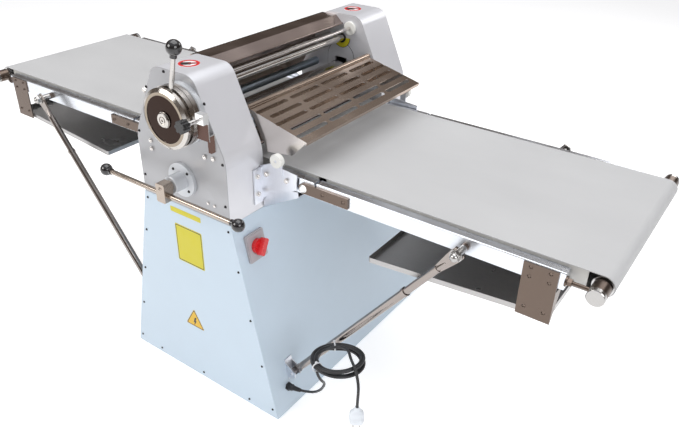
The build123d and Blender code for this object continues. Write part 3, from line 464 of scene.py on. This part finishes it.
# stop bracket: faces turned toward -Y are dark reddish brown, a painted reflection on the steel plate; the block at the
# top front is white
M["stop_block"] = regions(polished("stop_bracket_steel", (0.66, 0.65, 0.64), 0.18),
                          [((0.10, 0.060, 0.050), [("ny", "<", -0.7)], 0.26),
                           ((0.86, 0.86, 0.85), [("Z", ">", 0.866), ("Y", "<", -0.4355 + YO)], 0.28)])
# housing face plates: a darker copy of the head's satin paint, painted shade on the front face
M["face_paint_painted_shade"] = painted("satin_metallic_paint_shaded_face", (0.375, 0.378, 0.395), 0.34, metallic=0.25, peel=700, strength=0.05,
                          Coat_Weight=0.3, Coat_Roughness=0.22)
regions(M["dial_steel"], [((0.30, 0.255, 0.205), [("Y", "<", -0.4607 + YO), ((0.030, 0.855), ">", 0.0569)], None)])

record = frame["record"]
slot_of = {s["node"]: s["material_slot"] for s in record["subparts"]}
special = {"dial_disc": "dial_steel", "operator_side_bosses": "boss_paint", "right_table_tray": "tray_sheet",
           "left_table_tray": "tray_sheet", "roller_cover_sheets": "cover_sheet",
           "dial_stop_plunger": "plunger", "guard_right": "guard_steel", "guard_left": "guard_steel", "housing_face_plates": "face_paint_painted_shade",
           "tie_rods": "rod_steel", "clutch_lever": "lever_bar", "dial_lever": "lever_dial",
           "dial_stop_bracket": "stop_block", "left_table_fittings": "fittings", "right_table_fittings": "fittings",
           "table_and_strut_brackets": "bracket_sheet", "under_covers": "bracket_sheet"}
for node in slot_of:
    if node.startswith("strut_") or "_strut_" in node:
        special.setdefault(node, "strut_tube")
    if "rail" in node:
        special.setdefault(node, "rail_sheet")
cad = {}
for node in slot_of:
    cad[node] = bpy.data.objects[node]
for node, slot in slot_of.items():
    o = cad[node]
    mat = M[special.get(node, slot)]
    if not o.material_slots:
        o.data.materials.append(mat)
    for s in o.material_slots:
        s.material = mat


# --------------------------------------------------------------- pieces ----
def piece(name, bm, mat, body, smooth=True, angle=35.0):
    me = bpy.data.meshes.new(name)
    bmesh.ops.recalc_face_normals(bm, faces=bm.faces)
    bm.to_mesh(me)
    bm.free()
    o = bpy.data.objects.new(name, me)
    bpy.context.scene.collection.objects.link(o)
    me.materials.append(mat)
    if smooth:
        for f in me.polygons:
            f.use_smooth = True
        me.set_sharp_from_angle(angle=math.radians(angle))
    if body:
        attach(o, body)
    return o


def basis(n, up=(0, 0, 1)):
    n = Vector(n).normalized()
    u = Vector(up).cross(n)
    if u.length < 1e-6:
        u = Vector((1, 0, 0))
    u.normalize()
    return u, n.cross(u), n


def revolve(bm, o, n, prof, seg=48, closed=False):
    """Ring of quads about the line through o along n. prof holds (radius, height) in metres."""
    u, v, n = basis(n)
    rows = []
    for r, h in prof:
        if r < 1e-9:
            rows.append([bm.verts.new(o + n * h)])
        else:
            rows.append([bm.verts.new(o + n * h + (u * math.cos(2 * math.pi * k / seg) + v * math.sin(2 * math.pi * k / seg)) * r)
                         for k in range(seg)])
    pairs = list(zip(rows, rows[1:])) + ([(rows[-1], rows[0])] if closed else [])
    for a, b in pairs:
        for k in range(seg):
            j = (k + 1) % seg
            if len(a) == 1:
                bm.faces.new((a[0], b[k], b[j]))
            elif len(b) == 1:
                bm.faces.new((a[k], a[j], b[0]))
            else:
                bm.faces.new((a[k], a[j], b[j], b[k]))
    return rows


def plate(bm, o, n, up, outline, t, bev=0.0):
    """Thin plate with outline points (right, up) seen from outside along n."""
    n = Vector(n).normalized()
    w = Vector(up)
    w = (w - n * w.dot(n)).normalized()
    u = w.cross(n)
    lo = [bm.verts.new(o + u * x + w * y) for x, y in outline]
    cx = sum(p[0] for p in outline) / len(outline)
    cy = sum(p[1] for p in outline) / len(outline)
    k = 1 - bev
    hi = [bm.verts.new(o + u * (cx + (x - cx) * k) + w * (cy + (y - cy) * k) + n * t) for x, y in outline]
    bm.faces.new(hi)
    bm.faces.new(lo[::-1])
    for i in range(len(lo)):
        j = (i + 1) % len(lo)
        bm.faces.new((lo[i], lo[j], hi[j], hi[i]))


def rounded(w, h, r, seg=5):
    pts = []
    for cx, cy, a0 in ((w / 2 - r, h / 2 - r, 0), (-w / 2 + r, h / 2 - r, 90), (-w / 2 + r, -h / 2 + r, 180), (w / 2 - r, -h / 2 + r, 270)):
        for k in range(seg + 1):
            a = math.radians(a0 + 90 * k / seg)
            pts.append((cx + r * math.cos(a), cy + r * math.sin(a)))
    return pts


# ----------------------------------------------------------- power lead ----
PN = Vector((577.0, 0.0, 130.5)).normalized()
G0 = V(269.345, -336.0, 79.0)
G_END = G0 + PN * 0.026
COIL_C = V(470, -383.5, 320.5)
CN = Vector((-0.091, 0.127, 0.988)).normalized()
CA = Vector((0.812, 0.584, 0.0))
CA = (CA - CN * CA.dot(CN)).normalized()
CB = CN.cross(CA)


def coil_point(phi, dr, dn):
    r = 0.0605 + dr / 1000.0
    a = math.radians(phi)
    return COIL_C + CA * (r * math.cos(a)) + CB * (r * math.sin(a)) + CN * (dn / 1000.0)


# control points of the lead in millimetres: up from the gland, four turns, and down to the plug
CORD = [(330, -334, 93), (360, -338, 111), (387, -347, 140), (409, -360, 176), (425.8, -376.4, 212.8), (436.6,
        -402.2, 245.6), (432.9, -412.9, 267.9), (426.7, -412.6, 285.9), (420.5, -404.5, 299.9), (415.9, -391.4,
        308.5), (414.2, -376.3, 311.4), (416.4, -361.8, 309.8), (423.3, -349.5, 306.3), (434.5, -340.1, 304.5),
        (447.9, -332.8, 306.4), (461.9, -328.6, 308.2), (476.5, -327.9, 309.3), (491.1, -331.2, 310.4), (504.2,
        -338.2, 311.6), (515.1, -348.2, 313), (523, -360.8, 314.7), (527.4, -375, 316.6), (527.8, -389.9, 318.5),
        (524.2, -404.3, 320.3), (517, -417.3, 322), (506.5, -428, 323.2), (493.8, -435.8, 323.9), (479.6, -440.8,
        324.1), (464.4, -442.7, 323.4), (448.8, -440.8, 322), (434, -434.8, 319.8), (421.3, -424.6, 317.3), (412.1,
        -410.9, 314.7), (407.3, -395.1, 312.3), (406.7, -378.6, 310.1), (410.5, -362.4, 308.4), (418.3, -347.6,
        307.2), (429.6, -335.4, 306.6), (443.8, -326.4, 306.8), (459.7, -321.3, 307.5), (476.4, -320.5, 308.4),
        (492.7, -324.1, 309.7), (507.6, -331.7, 311.1), (519.9, -342.9, 312.9), (528.9, -357, 314.8), (533.8,
        -372.8, 316.9), (534.5, -389.4, 319), (530.8, -405.6, 321.1), (523, -420.3, 322.9), (511.6, -432.5, 324.2),
        (497.5, -441.5, 325.2), (481.5, -446.4, 326.2), (464.7, -447.2, 326.8), (448.3, -443.6, 326.6), (433.4,
        -436, 325.9), (420.9, -424.8, 324.6), (411.8, -410.9, 322.6), (406.8, -395.2, 320.1), (405.9, -378.6,
        317.9), (409.4, -362.4, 316.2), (417, -347.5, 314.9), (428.1, -335.1, 314.4), (442.1, -325.9, 314.5),
        (457.9, -320.6, 315.4), (474.5, -319.5, 317.2), (490.6, -322.8, 319.8), (505.2, -330.1, 323), (517.3,
        -340.9, 326.4), (526.2, -354.5, 329.6), (531.2, -370, 332.5), (532.2, -386.3, 334.8), (529, -402.4, 336.3),
        (521.8, -417.3, 336.9), (511.1, -429.9, 336.7), (497.4, -439.3, 335.8), (481.6, -444.2, 334.2), (465.4,
        -444.2, 332.1), (450.3, -439.8, 329.9), (437.1, -431.7, 327.6), (426.6, -421, 325.3), (418.9, -408.5, 323),
        (414.2, -394.7, 320.7), (413.2, -380.1, 318.8), (416, -365.6, 317.2), (422.5, -352.4, 316.1), (432.2,
        -341.2, 315.5), (444.4, -332.9, 315.6), (458.3, -327.9, 316.3), (473, -326.6, 317.9), (487.4, -329.1,
        320.3), (500.6, -335.2, 323.2), (511.8, -344.5, 326.3), (520.2, -356.4, 329.3), (525.1, -370.2, 332),
        (526.3, -385, 334.1), (523.6, -399.6, 335.4), (517.2, -413.1, 336), (507.5, -424.5, 335.7), (495.3, -432.9,
        334.8), (481.2, -437.2, 333.1), (466.9, -437.2, 330.9), (453.8, -433.2, 328.5), (442.1, -426.5, 326.2),
        (432.5, -416.9, 324.3), (424.5, -407.3, 321.8), (419.1, -395.9, 319.3), (417.7, -382.9, 317.2), (420.7,
        -369.9, 316.5), (428, -358.1, 317.7), (439.4, -349.1, 321), (454.1, -345.2, 325.3), (471.2, -348.1, 330.4),
        (486.4, -359.6, 335.2), (499.5, -374.9, 339.4), (514.2, -388.5, 343), (530.6, -402.6, 345.5), (546, -415.7,
        341), (556.8, -424.8, 330.1), (562.5, -430.4, 314.2), (562.6, -431.7, 293.6), (561.7, -431.3, 274.3), (561,
        -431, 257)]
pts = [G_END, G_END + PN * 0.014] + [V(*q) for q in CORD]

cu = bpy.data.curves.new("power_cord", "CURVE")
cu.dimensions = "3D"
sp = cu.splines.new("NURBS")
sp.points.add(len(pts) - 1)
for q, c in zip(sp.points, pts):
    q.co = (c.x, c.y, c.z, 1.0)
    q.radius = 0.001
sp.order_u = 3
sp.use_endpoint_u = True
sp.resolution_u = 6
cu.bevel_depth = 3.6        # times the point radius of 0.001
cu.bevel_resolution = 4
cu.use_fill_caps = True
cord = bpy.data.objects.new("power_cord", cu)
bpy.context.scene.collection.objects.link(cord)
cu.materials.append(M["rubber"])


def on_spline(n_each=6):
    """Points along the cord's own spline."""
    keep = cu.bevel_depth
    cu.bevel_depth = 0.0
    dg = bpy.context.evaluated_depsgraph_get()
    dg.update()
    me = bpy.data.meshes.new_from_object(cord.evaluated_get(dg), depsgraph=dg)
    line = [v.co.copy() for v in me.vertices]
    bpy.data.meshes.remove(me)
    cu.bevel_depth = keep
    return line


LINE = on_spline()

# the curve as a mesh tube, in place of the CAD lead
dg = bpy.context.evaluated_depsgraph_get()
tube = bpy.data.meshes.new_from_object(cord.evaluated_get(dg), depsgraph=dg)
bpy.data.objects.remove(cord)
cord = bpy.data.objects.new("power_cord", tube)
bpy.context.scene.collection.objects.link(cord)
tube.materials.clear()
tube.materials.append(M["rubber"])
for f in tube.polygons:
    f.use_smooth = True
tube.set_sharp_from_angle(angle=math.radians(50.0))
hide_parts("power_lead", "power_lead_coil", "power_lead_tail")
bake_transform(cord)

# ribbed sleeve of the strain relief, along the straight start of the lead
bm = bmesh.new()
prof = [(0.0037, 0.018), (0.0068, 0.018), (0.0072, 0.020)]
for k in range(6):
    z = 0.0215 + 0.0038 * k
    r = 0.0070 - 0.0003 * k
    prof += [(r, z), (r, z + 0.0022), (r - 0.0011, z + 0.0026), (r - 0.0011, z + 0.0036)]
prof += [(0.0052, 0.0450), (0.0041, 0.0464), (0.0037, 0.0464)]
revolve(bm, G0, PN, prof, 32, closed=True)
relief = piece("strain_relief_sleeve", bm, M["black_plastic"], "root")


def band(name, phi, w, rr, zz, mat, off=(0.0, 0.0), tail=None):
    """Flat tie around the bundle of turns at one place of the coil."""
    bm = bmesh.new()
    c = coil_point(phi, off[0], off[1])
    a = math.radians(phi)
    rad = (CA * math.cos(a) + CB * math.sin(a))
    tan = (-CA * math.sin(a) + CB * math.cos(a))
    seg = 40
    rows = []
    for (dw, dd) in ((-w / 2, 0.0), (-w / 2 + 0.3, 1.0), (w / 2 - 0.3, 1.0), (w / 2, 0.0)):
        row = []
        for k in range(seg):
            t = 2 * math.pi * k / seg
            e = 2.6
            cx = math.copysign(abs(math.cos(t)) ** (2 / e), math.cos(t))
            cz = math.copysign(abs(math.sin(t)) ** (2 / e), math.sin(t))
            row.append(bm.verts.new(c + rad * (cx * (rr + dd) / 1000) + CN * (cz * (zz + dd) / 1000) + tan * (dw / 1000)))
        rows.append(row)
    for r0, r1 in zip(rows, rows[1:] + rows[:1]):
        for k in range(seg):
            j = (k + 1) % seg
            bm.faces.new((r0[k], r0[j], r1[j], r1[k]))
    # small head block of the tie, on top
    h = c + CN * ((zz + 2.2) / 1000) + rad * (tail or 0.002)
    for s0, s1 in ((0.0, 1.0),):
        plate(bm, h - CN * 0.0015, CN, rad, rounded(0.006, 0.0055, 0.001, 3), 0.0042, 0.12)
    return piece(name, bm, mat, "strut_rn")


PLUG = V(561, -431, 0)
PX, PY = Vector((0.8, 0.6, 0.0)), Vector((-0.6, 0.8, 0.0))


def plug_body():
    """Rounded mains plug hanging from the cord, lofted from flat ovals."""
    bm = bmesh.new()
    seg, rows = 48, []
    for z, a, b, e in ((258.0, 3.8, 3.8, 2.0), (258.0, 5.6, 5.6, 2.0), (256.5, 6.2, 6.0, 2.0), (251.0, 6.6, 6.2, 2.0), (248.5, 8.6, 7.4, 2.2),
                       (245.5, 13.0, 9.6, 2.5), (241.5, 16.2, 11.2, 2.8), (236.0, 17.6, 12.0, 3.0), (226.0, 17.8, 12.4, 3.1),
                       (225.4, 18.4, 13.0, 3.1), (221.5, 18.4, 13.0, 3.1), (220.9, 17.8, 12.4, 3.1), (213.0, 17.4, 12.2, 3.1),
                       (208.5, 15.6, 11.4, 3.0), (206.0, 12.6, 9.6, 2.8), (205.2, 8.0, 6.4, 2.5)):
        row = []
        for k in range(seg):
            t = 2 * math.pi * k / seg
            cx = math.copysign(abs(math.cos(t)) ** (2 / e), math.cos(t))
            cy = math.copysign(abs(math.sin(t)) ** (2 / e), math.sin(t))
            row.append(bm.verts.new(PLUG + PX * (a * cx / 1000) + PY * (b * cy / 1000) + Vector((0, 0, z / 1000))))
        rows.append(row)
    for r0, r1 in zip(rows, rows[1:]):
        for k in range(seg):
            j = (k + 1) % seg
            bm.faces.new((r0[k], r0[j], r1[j], r1[k]))
    bm.faces.new(rows[0])
    bm.faces.new(rows[-1][::-1])
    return piece("mains_plug", bm, M["plug_white"], "strut_rn", angle=50)


plug = plug_body()
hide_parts("power_plug")
for k_, dx_ in enumerate((-8.0, 8.0)):
    bm = bmesh.new()
    o_ = PLUG + PX * (dx_ / 1000) + Vector((0, 0, 0.2060))
    revolve(bm, o_, (0, 0, -1), [(0.0, -0.001), (0.0024, -0.001), (0.0024, 0.0125), (0.0016, 0.0140), (0.0, 0.0140)], 24)
    piece("plug_pin_%d" % k_, bm, M["lever_dial"], "strut_rn", angle=40)

TIE_A, TIE_B = 98.0, 212.0
tie1 = band("coil_tie_upper", TIE_A, 3.6, 10.2, 9.9, M["tie_grey"], (0.3, 0.0))
tie2 = band("coil_tie_lower", TIE_B, 3.6, 11.8, 9.9, M["tie_grey"], (-2.2, -0.4))


# ---------------------------------------------------------------- belts ----
def belt_loop(side):
    """One belt as a closed band over the drive and end rollers."""
    R1, R2, T = 25.3, 22.3, 1.7
    c1, c2 = (92.0, 688.0), (989.0, 691.0)
    a = math.atan2(c2[1] - c1[1], c2[0] - c1[0])
    L = math.hypot(c2[0] - c1[0], c2[1] - c1[1])

    def ring(r1, r2):
        b = math.acos((r1 - r2) / L)
        t1, t2 = a + b, a - b

        def at(c, r, t):
            return (c[0] + r * math.cos(t), c[1] + r * math.sin(t))
        pts = []
        p0, p1 = at(c1, r1, t1), at(c2, r2, t1)
        xs = [0.0, 0.06, 0.12, 0.16]
        n = 44
        fr = [k / n for k in range(n)]
        pts += [(p0[0] + (p1[0] - p0[0]) * f, p0[1] + (p1[1] - p0[1]) * f) for f in fr]
        m_ = 22
        pts += [at(c2, r2, t1 + (t2 - t1) * k / m_) for k in range(m_)]
        p2, p3 = at(c2, r2, t2), at(c1, r1, t2)
        pts += [(p2[0] + (p3[0] - p2[0]) * f, p2[1] + (p3[1] - p2[1]) * f) for f in fr]
        t3 = t1 - 2 * math.pi
        pts += [at(c1, r1, t2 + (t3 - t2) * k / m_) for k in range(m_)]
        return pts
    bm = bmesh.new()
    ri, ro = ring(R1, R2), ring(R1 + T, R2 + T)
    # refine around the table hinge
    W = 250.0
    e = 0.45
    # cross-section: rounded edges
    sec = [(-W, 0.0), (-W, 1 - e), (-W + 0.5, 1.0)] + [(-W + 2 * W * k / 8.0, 1.0) for k in range(1, 8)] + [
        (W - 0.5, 1.0), (W, 1 - e), (W, 0.0)] + [(W - 2 * W * k / 8.0, 0.0) for k in range(1, 8)]
    rows = []
    for i in range(len(ri)):
        row = []
        for y, k in sec:
            x = ri[i][0] + (ro[i][0] - ri[i][0]) * k
            z = ri[i][1] + (ro[i][1] - ri[i][1]) * k
            row.append(bm.verts.new(V(side * x, y, z)))
        rows.append(row)
    for r0, r1 in zip(rows, rows[1:] + rows[:1]):
        for k in range(len(sec)):
            j = (k + 1) % len(sec)
            bm.faces.new((r0[k], r0[j], r1[j], r1[k]))
    for x in (0.2535, 0.262, 0.270, 0.276, 0.282, 0.288, 0.294, 0.300, 0.306, 0.314, 0.322):
        g = bm.verts[:] + bm.edges[:] + bm.faces[:]
        bmesh.ops.bisect_plane(bm, geom=g, plane_co=(side * x, 0, 0), plane_no=(1, 0, 0))
    return bm


belt_r = piece("belt_right", belt_loop(1), M["belt"], None)
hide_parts("right_table_belt", "stub_belts")
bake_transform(belt_r)
belt_l = piece("belt_left", belt_loop(-1), M["belt"], None)
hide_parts("left_table_belt", "stub_belts")
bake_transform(belt_l)

# --------------------------------------------------------------- labels ----
FN = (0, -1, 0)


def label(name, o, n, up, outline, mat, t=0.0004, border=None, body="root"):
    bm = bmesh.new()
    plate(bm, o, n, up, outline, t, 0.004)
    a = piece(name, bm, mat, body, angle=30)
    if border:
        bm = bmesh.new()
        w, bmat = border
        cx = sum(q[0] for q in outline) / len(outline)
        cy = sum(q[1] for q in outline) / len(outline)
        n_ = Vector(n).normalized()
        up_ = Vector(up)
        up_ = (up_ - n_ * up_.dot(n_)).normalized()
        u_ = up_.cross(n_)
        k0, k1 = 0.955, 0.955 - w
        out_, in_ = [], []
        for x, y in outline:
            out_.append((cx + (x - cx) * k0, cy + (y - cy) * k0))
            in_.append((cx + (x - cx) * k1, cy + (y - cy) * k1))

        def mk(pts_, h):
            return [bm.verts.new(o + u_ * x + up_ * y + n_ * h) for x, y in pts_]
        a0, a1 = mk(out_, t), mk(out_, t + 0.0002)
        b0, b1 = mk(in_, t), mk(in_, t + 0.0002)
        m_ = len(outline)
        for i in range(m_):
            j = (i + 1) % m_
            bm.faces.new((a1[i], a1[j], b1[j], b1[i]))
            bm.faces.new((a0[j], a0[i], b0[i], b0[j]))
            bm.faces.new((a0[i], a0[j], a1[j], a1[i]))
            bm.faces.new((b0[j], b0[i], b1[i], b1[j]))
        piece(name + "_border", bm, bmat, body, angle=30)
    return a


label("panel_plate_yellow", V(-1, -400, 469), FN, (0, 0, 1), rounded(0.098, 0.116, 0.004), M["yellow"], border=(0.035, M["label_black"]))
label("panel_strip_yellow", V(-5, -400, 567.5), FN, (0, 0, 1), rounded(0.110, 0.015, 0.002), M["yellow"])
tri = []
for ax, ay in ((-36, -20), (36, -20), (0.5, 42)):
    tri.append((ax / 1000.0, ay / 1000.0))


def round_poly(pts_, r, seg=5):
    out_ = []
    n_ = len(pts_)
    for i in range(n_):
        p0, p1, p2 = Vector(pts_[i - 1]), Vector(pts_[i]), Vector(pts_[(i + 1) % n_])
        a, b = (p0 - p1).normalized(), (p2 - p1).normalized()
        ang = a.angle(b)
        d = r / math.tan(ang / 2)
        s, e_ = p1 + a * d, p1 + b * d
        for k in range(seg + 1):
            t = k / seg
            q = s * (1 - t) ** 2 + p1 * 2 * t * (1 - t) + e_ * t * t
            out_.append((q.x, q.y))
    return out_


tri = round_poly(tri, 0.004)
label("panel_triangle_yellow", V(-14, -400, 214), FN, (0, 0, 1), tri, M["amber"], border=(0.10, M["label_black"]))


bar_ = [(0.0012, 0.0150), (0.0075, 0.0150), (0.0030, 0.0030), (0.0068, 0.0030), (-0.0040, -0.0150), (-0.0012, -0.0030), (-0.0050, -0.0030)]
label("panel_triangle_mark", V(-14, -400.5, 212), FN, (0, 0, 1), [(x + 0.0, y) for x, y in bar_][::-1], M["label_black"], 0.0003)


def disc_label(name, y, x0):
    o = V(x0, y, 948.0)
    bm = bmesh.new()
    revolve(bm, o, (0, 0, 1), [(0.0, 0.0), (0.026, 0.0), (0.026, 0.0004), (0.0, 0.0004)], 48)
    piece(name, bm, M["label_white"], "root")
    bm = bmesh.new()
    revolve(bm, o, (0, 0, 1), [(0.0185, 0.0004), (0.0257, 0.0004), (0.0257, 0.0007), (0.0185, 0.0007)], 48, closed=True)
    plate(bm, o + Vector((0, 0, 0.0004)), (0, 0, 1), (0.7, 0.7, 0), rounded(0.0062, 0.0400, 0.0008, 3), 0.0003)
    piece(name + "_ring", bm, M["label_red"], "root")
    # plain generic marks on both sides of the bar
    bm = bmesh.new()
    plate(bm, o + Vector((-0.004, -0.006, 0.0006)), (0, 0, 1), (0.7, 0.7, 0), rounded(0.0175, 0.024, 0.004, 4), 0.0006)
    piece(name + "_mark", bm, M["label_black"], "root")
    bm = bmesh.new()
    plate(bm, o + Vector((0.007, 0.006, 0.0006)), (0, 0, 1), (0.7, 0.7, 0), rounded(0.0075, 0.022, 0.003, 4), 0.0007)
    piece(name + "_mark_small", bm, M["label_dark_red"], "root")


disc_label("head_label_near", -338, -6)
disc_label("head_label_far", 338, -6)

# far inner wall: nylon end disc on the rod, yellow ring about the cross shaft
bm = bmesh.new()
revolve(bm, V(33, 271.5, 910), (0, -1, 0), [(0.0052, 0.0), (0.0195, 0.0), (0.020, 0.0006), (0.020, 0.0062), (0.0188, 0.0074),
                                            (0.0085, 0.0078), (0.0052, 0.0072)], 56, closed=True)
piece("rod_end_disc", bm, M["nylon"], "root")


def arch_outline(hw, zc, top, z0, seg=28):
    """Half-round top on straight sides, as (x, z) in millimetres, anticlockwise from the lower right."""
    r = hw
    zc = top - r
    pts_ = [(hw, z0), (hw, zc)]
    pts_ += [(r * math.cos(math.pi * k / seg), zc + r * math.sin(math.pi * k / seg)) for k in range(1, seg)]
    pts_ += [(-hw, zc), (-hw, z0)]
    return pts_


def flat_ring(bm, outer, inner, y0, y1):
    """Plate between two outlines of equal count, from y0 (wall) to y1 (inside), in millimetres."""
    a0 = [bm.verts.new(V(x, y0, z)) for x, z in outer]
    a1 = [bm.verts.new(V(x, y1, z)) for x, z in outer]
    b0 = [bm.verts.new(V(x, y0, z)) for x, z in inner]
    b1 = [bm.verts.new(V(x, y1, z)) for x, z in inner]
    n_ = len(outer)
    for i in range(n_):
        j = (i + 1) % n_
        bm.faces.new((a1[i], a1[j], b1[j], b1[i]))
        bm.faces.new((a0[j], a0[i], b0[i], b0[j]))
        bm.faces.new((a0[i], a0[j], a1[j], a1[i]))
        bm.faces.new((b0[j], b0[i], b1[i], b1[j]))


# lower half of a yellow ring about the cross shaft, with a dark collar, in front of the arch plate
for sy, nm in ((1, "far"), (-1, "near")):
    # arch plate fixed to the inner wall, with the slot in which the roller carriage moves
    bm = bmesh.new()
    out_ = arch_outline(48.0, 815.0, 863.0, 722.0)
    in_ = arch_outline(22.0, 816.0, 838.0, 734.0)
    flat_ring(bm, out_, in_, sy * 271.4, sy * 270.2)
    piece("roller_arch_plate_" + nm, bm, M["head_paint"], "root", angle=30)
    bm = bmesh.new()
    out_ = arch_outline(49.2, 815.0, 864.2, 721.0)
    in_ = arch_outline(48.05, 815.0, 863.05, 721.9)
    flat_ring(bm, out_, in_, sy * 271.4, sy * 270.9)
    piece("roller_arch_line_" + nm, bm, M["black_steel"], "root", angle=30)
    # dark ring on the end of the upper roller: painted shadow, a black ring standing in for the shade in the gap
    # between the roller's end and the wall
    bm = bmesh.new()
    revolve(bm, V(0, sy * 262.9, 765), (0, -sy, 0), [(0.0385, 0.0), (0.0430, 0.0), (0.0434, 0.0006), (0.0434, 0.0022), (0.0385, 0.0026)], 64, closed=True)
    piece("roller_end_shadow_ring_" + nm, bm, M["black_steel"], "upper_roller")

bm = bmesh.new()
cx_, cz_ = 3.0, 877.0


def arc(r, a0, a1, seg=30):
    return [(cx_ + r * math.cos(math.radians(a0 + (a1 - a0) * k / seg)), cz_ + r * math.sin(math.radians(a0 + (a1 - a0) * k / seg)))
            for k in range(seg + 1)]


for r0, r1, y1, mat_, nm, slot_ in ((15.2, 28.8, 269.3, "yellow", "shaft_ring_yellow", "head_paint"),
                                    (28.8, 30.4, 269.4, "label_black", "shaft_ring_line", "black_steel")):
    bm = bmesh.new()
    o_, i_ = arc(r1, 178, 362), arc(r0, 178, 362)
    loop = o_ + i_[::-1]
    f0 = [bm.verts.new(V(x, 270.15, z)) for x, z in loop]
    f1 = [bm.verts.new(V(x, y1, z)) for x, z in loop]
    n_ = len(o_)
    m_ = len(loop)
    for i in range(n_ - 1):
        bm.faces.new((f1[i], f1[i + 1], f1[m_ - 2 - i], f1[m_ - 1 - i]))
        bm.faces.new((f0[i + 1], f0[i], f0[m_ - 1 - i], f0[m_ - 2 - i]))
    for i in range(m_):
        j = (i + 1) % m_
        bm.faces.new((f0[i], f0[j], f1[j], f1[i]))
    piece(nm, bm, M[mat_], "root", angle=30)
bm = bmesh.new()
revolve(bm, V(cx_, 270.15, cz_), (0, -1, 0), [(0.0105, 0.0), (0.0150, 0.0), (0.0150, 0.0030), (0.0142, 0.0036), (0.0105, 0.0036)], 48, closed=True)
piece("shaft_collar", bm, M["black_steel"], "root")

# ---------------------------------------------------------- studio stage ----
bm = bmesh.new()
S = 14.0
NX = 24
grid = [[None] * (NX + 1) for _ in range(NX + 1)]
for i in range(NX + 1):
    for j in range(NX + 1):
        grid[i][j] = bm.verts.new(((i / NX - 0.5) * 2 * S, (j / NX - 0.5) * 2 * S, 0.0))
for i in range(NX):
    for j in range(NX):
        bm.faces.new((grid[i][j], grid[i + 1][j], grid[i + 1][j + 1], grid[i][j + 1]))
me = bpy.data.meshes.new("studio_floor")
bm.to_mesh(me)
bm.free()
floor = bpy.data.objects.new("studio_floor", me)
bpy.context.scene.collection.objects.link(floor)
p = Mat("floor_pale", (0.90, 0.90, 0.90), 0.0, 0.75, Emission_Color=(1, 1, 1, 1), Emission_Strength=0.42, Specular_IOR_Level=0.0)
p.colour(p.noise((0.7, 0.7, 0.7)), (0.89, 0.89, 0.89), (0.91, 0.91, 0.91))
me.materials.append(p.mat)

w = bpy.data.worlds.new("studio")
bpy.context.scene.world = w
w.use_nodes = True
nt = w.node_tree
nt.nodes.clear()
wo = nt.nodes.new("ShaderNodeOutputWorld")
bg = nt.nodes.new("ShaderNodeBackground")
bg.inputs["Strength"].default_value = 1.0
tcw = nt.nodes.new("ShaderNodeTexCoord")
sepw = nt.nodes.new("ShaderNodeSeparateXYZ")
rampw = nt.nodes.new("ShaderNodeValToRGB")
mr = nt.nodes.new("ShaderNodeMapRange")
mr.inputs["From Min"].default_value = -1.0
nt.links.new(tcw.outputs["Generated"], sepw.inputs["Vector"])
nt.links.new(sepw.outputs["Z"], mr.inputs["Value"])
nt.links.new(mr.outputs["Result"], rampw.inputs["Fac"])
cr = rampw.color_ramp
cr.elements[0].position = 0.0
cr.elements[0].color = (0.75, 0.75, 0.75, 1)
cr.elements[1].position = 1.0
cr.elements[1].color = (0.62, 0.64, 0.68, 1)
for pos, c in ((0.485, (0.70, 0.69, 0.68, 1)), (0.515, (0.16, 0.125, 0.10, 1)), (0.62, (0.10, 0.082, 0.07, 1)),
               (0.72, (0.15, 0.125, 0.11, 1)), (0.80, (0.42, 0.40, 0.39, 1)), (0.88, (0.60, 0.61, 0.64, 1))):
    e = cr.elements.new(pos)
    e.color = c
nt.links.new(rampw.outputs["Color"], bg.inputs["Color"])
nt.links.new(bg.outputs["Background"], wo.inputs["Surface"])


def area(name, loc, target, size, power, col=(1, 1, 1)):
    d = bpy.data.lights.new(name, "AREA")
    d.shape = "RECTANGLE"
    d.size, d.size_y = size
    d.energy = power
    d.color = col
    o = bpy.data.objects.new(name, d)
    bpy.context.scene.collection.objects.link(o)
    o.location = loc
    o.rotation_euler = (Vector(target) - Vector(loc)).to_track_quat("-Z", "Y").to_euler()
    return o


area("key_front_left", (-2.2, -3.6, 2.9), (0, 0, 0.6), (2.6, 1.8), 95, (1.0, 0.99, 0.97))
area("fill_right", (3.8, -1.6, 2.4), (0, 0, 0.6), (2.4, 1.8), 58, (0.97, 0.98, 1.0))
area("top_soft", (0.0, 0.2, 3.8), (0, 0, 0.7), (3.4, 3.0), 75)
area("rear_fill", (1.2, 3.9, 2.6), (0, 0, 0.8), (2.4, 1.2), 30)

sc = bpy.context.scene
sc.view_settings.view_transform = "Standard"
sc.view_settings.look = "None"
sc.view_settings.exposure = 0.0

bpy.context.view_layer.update()
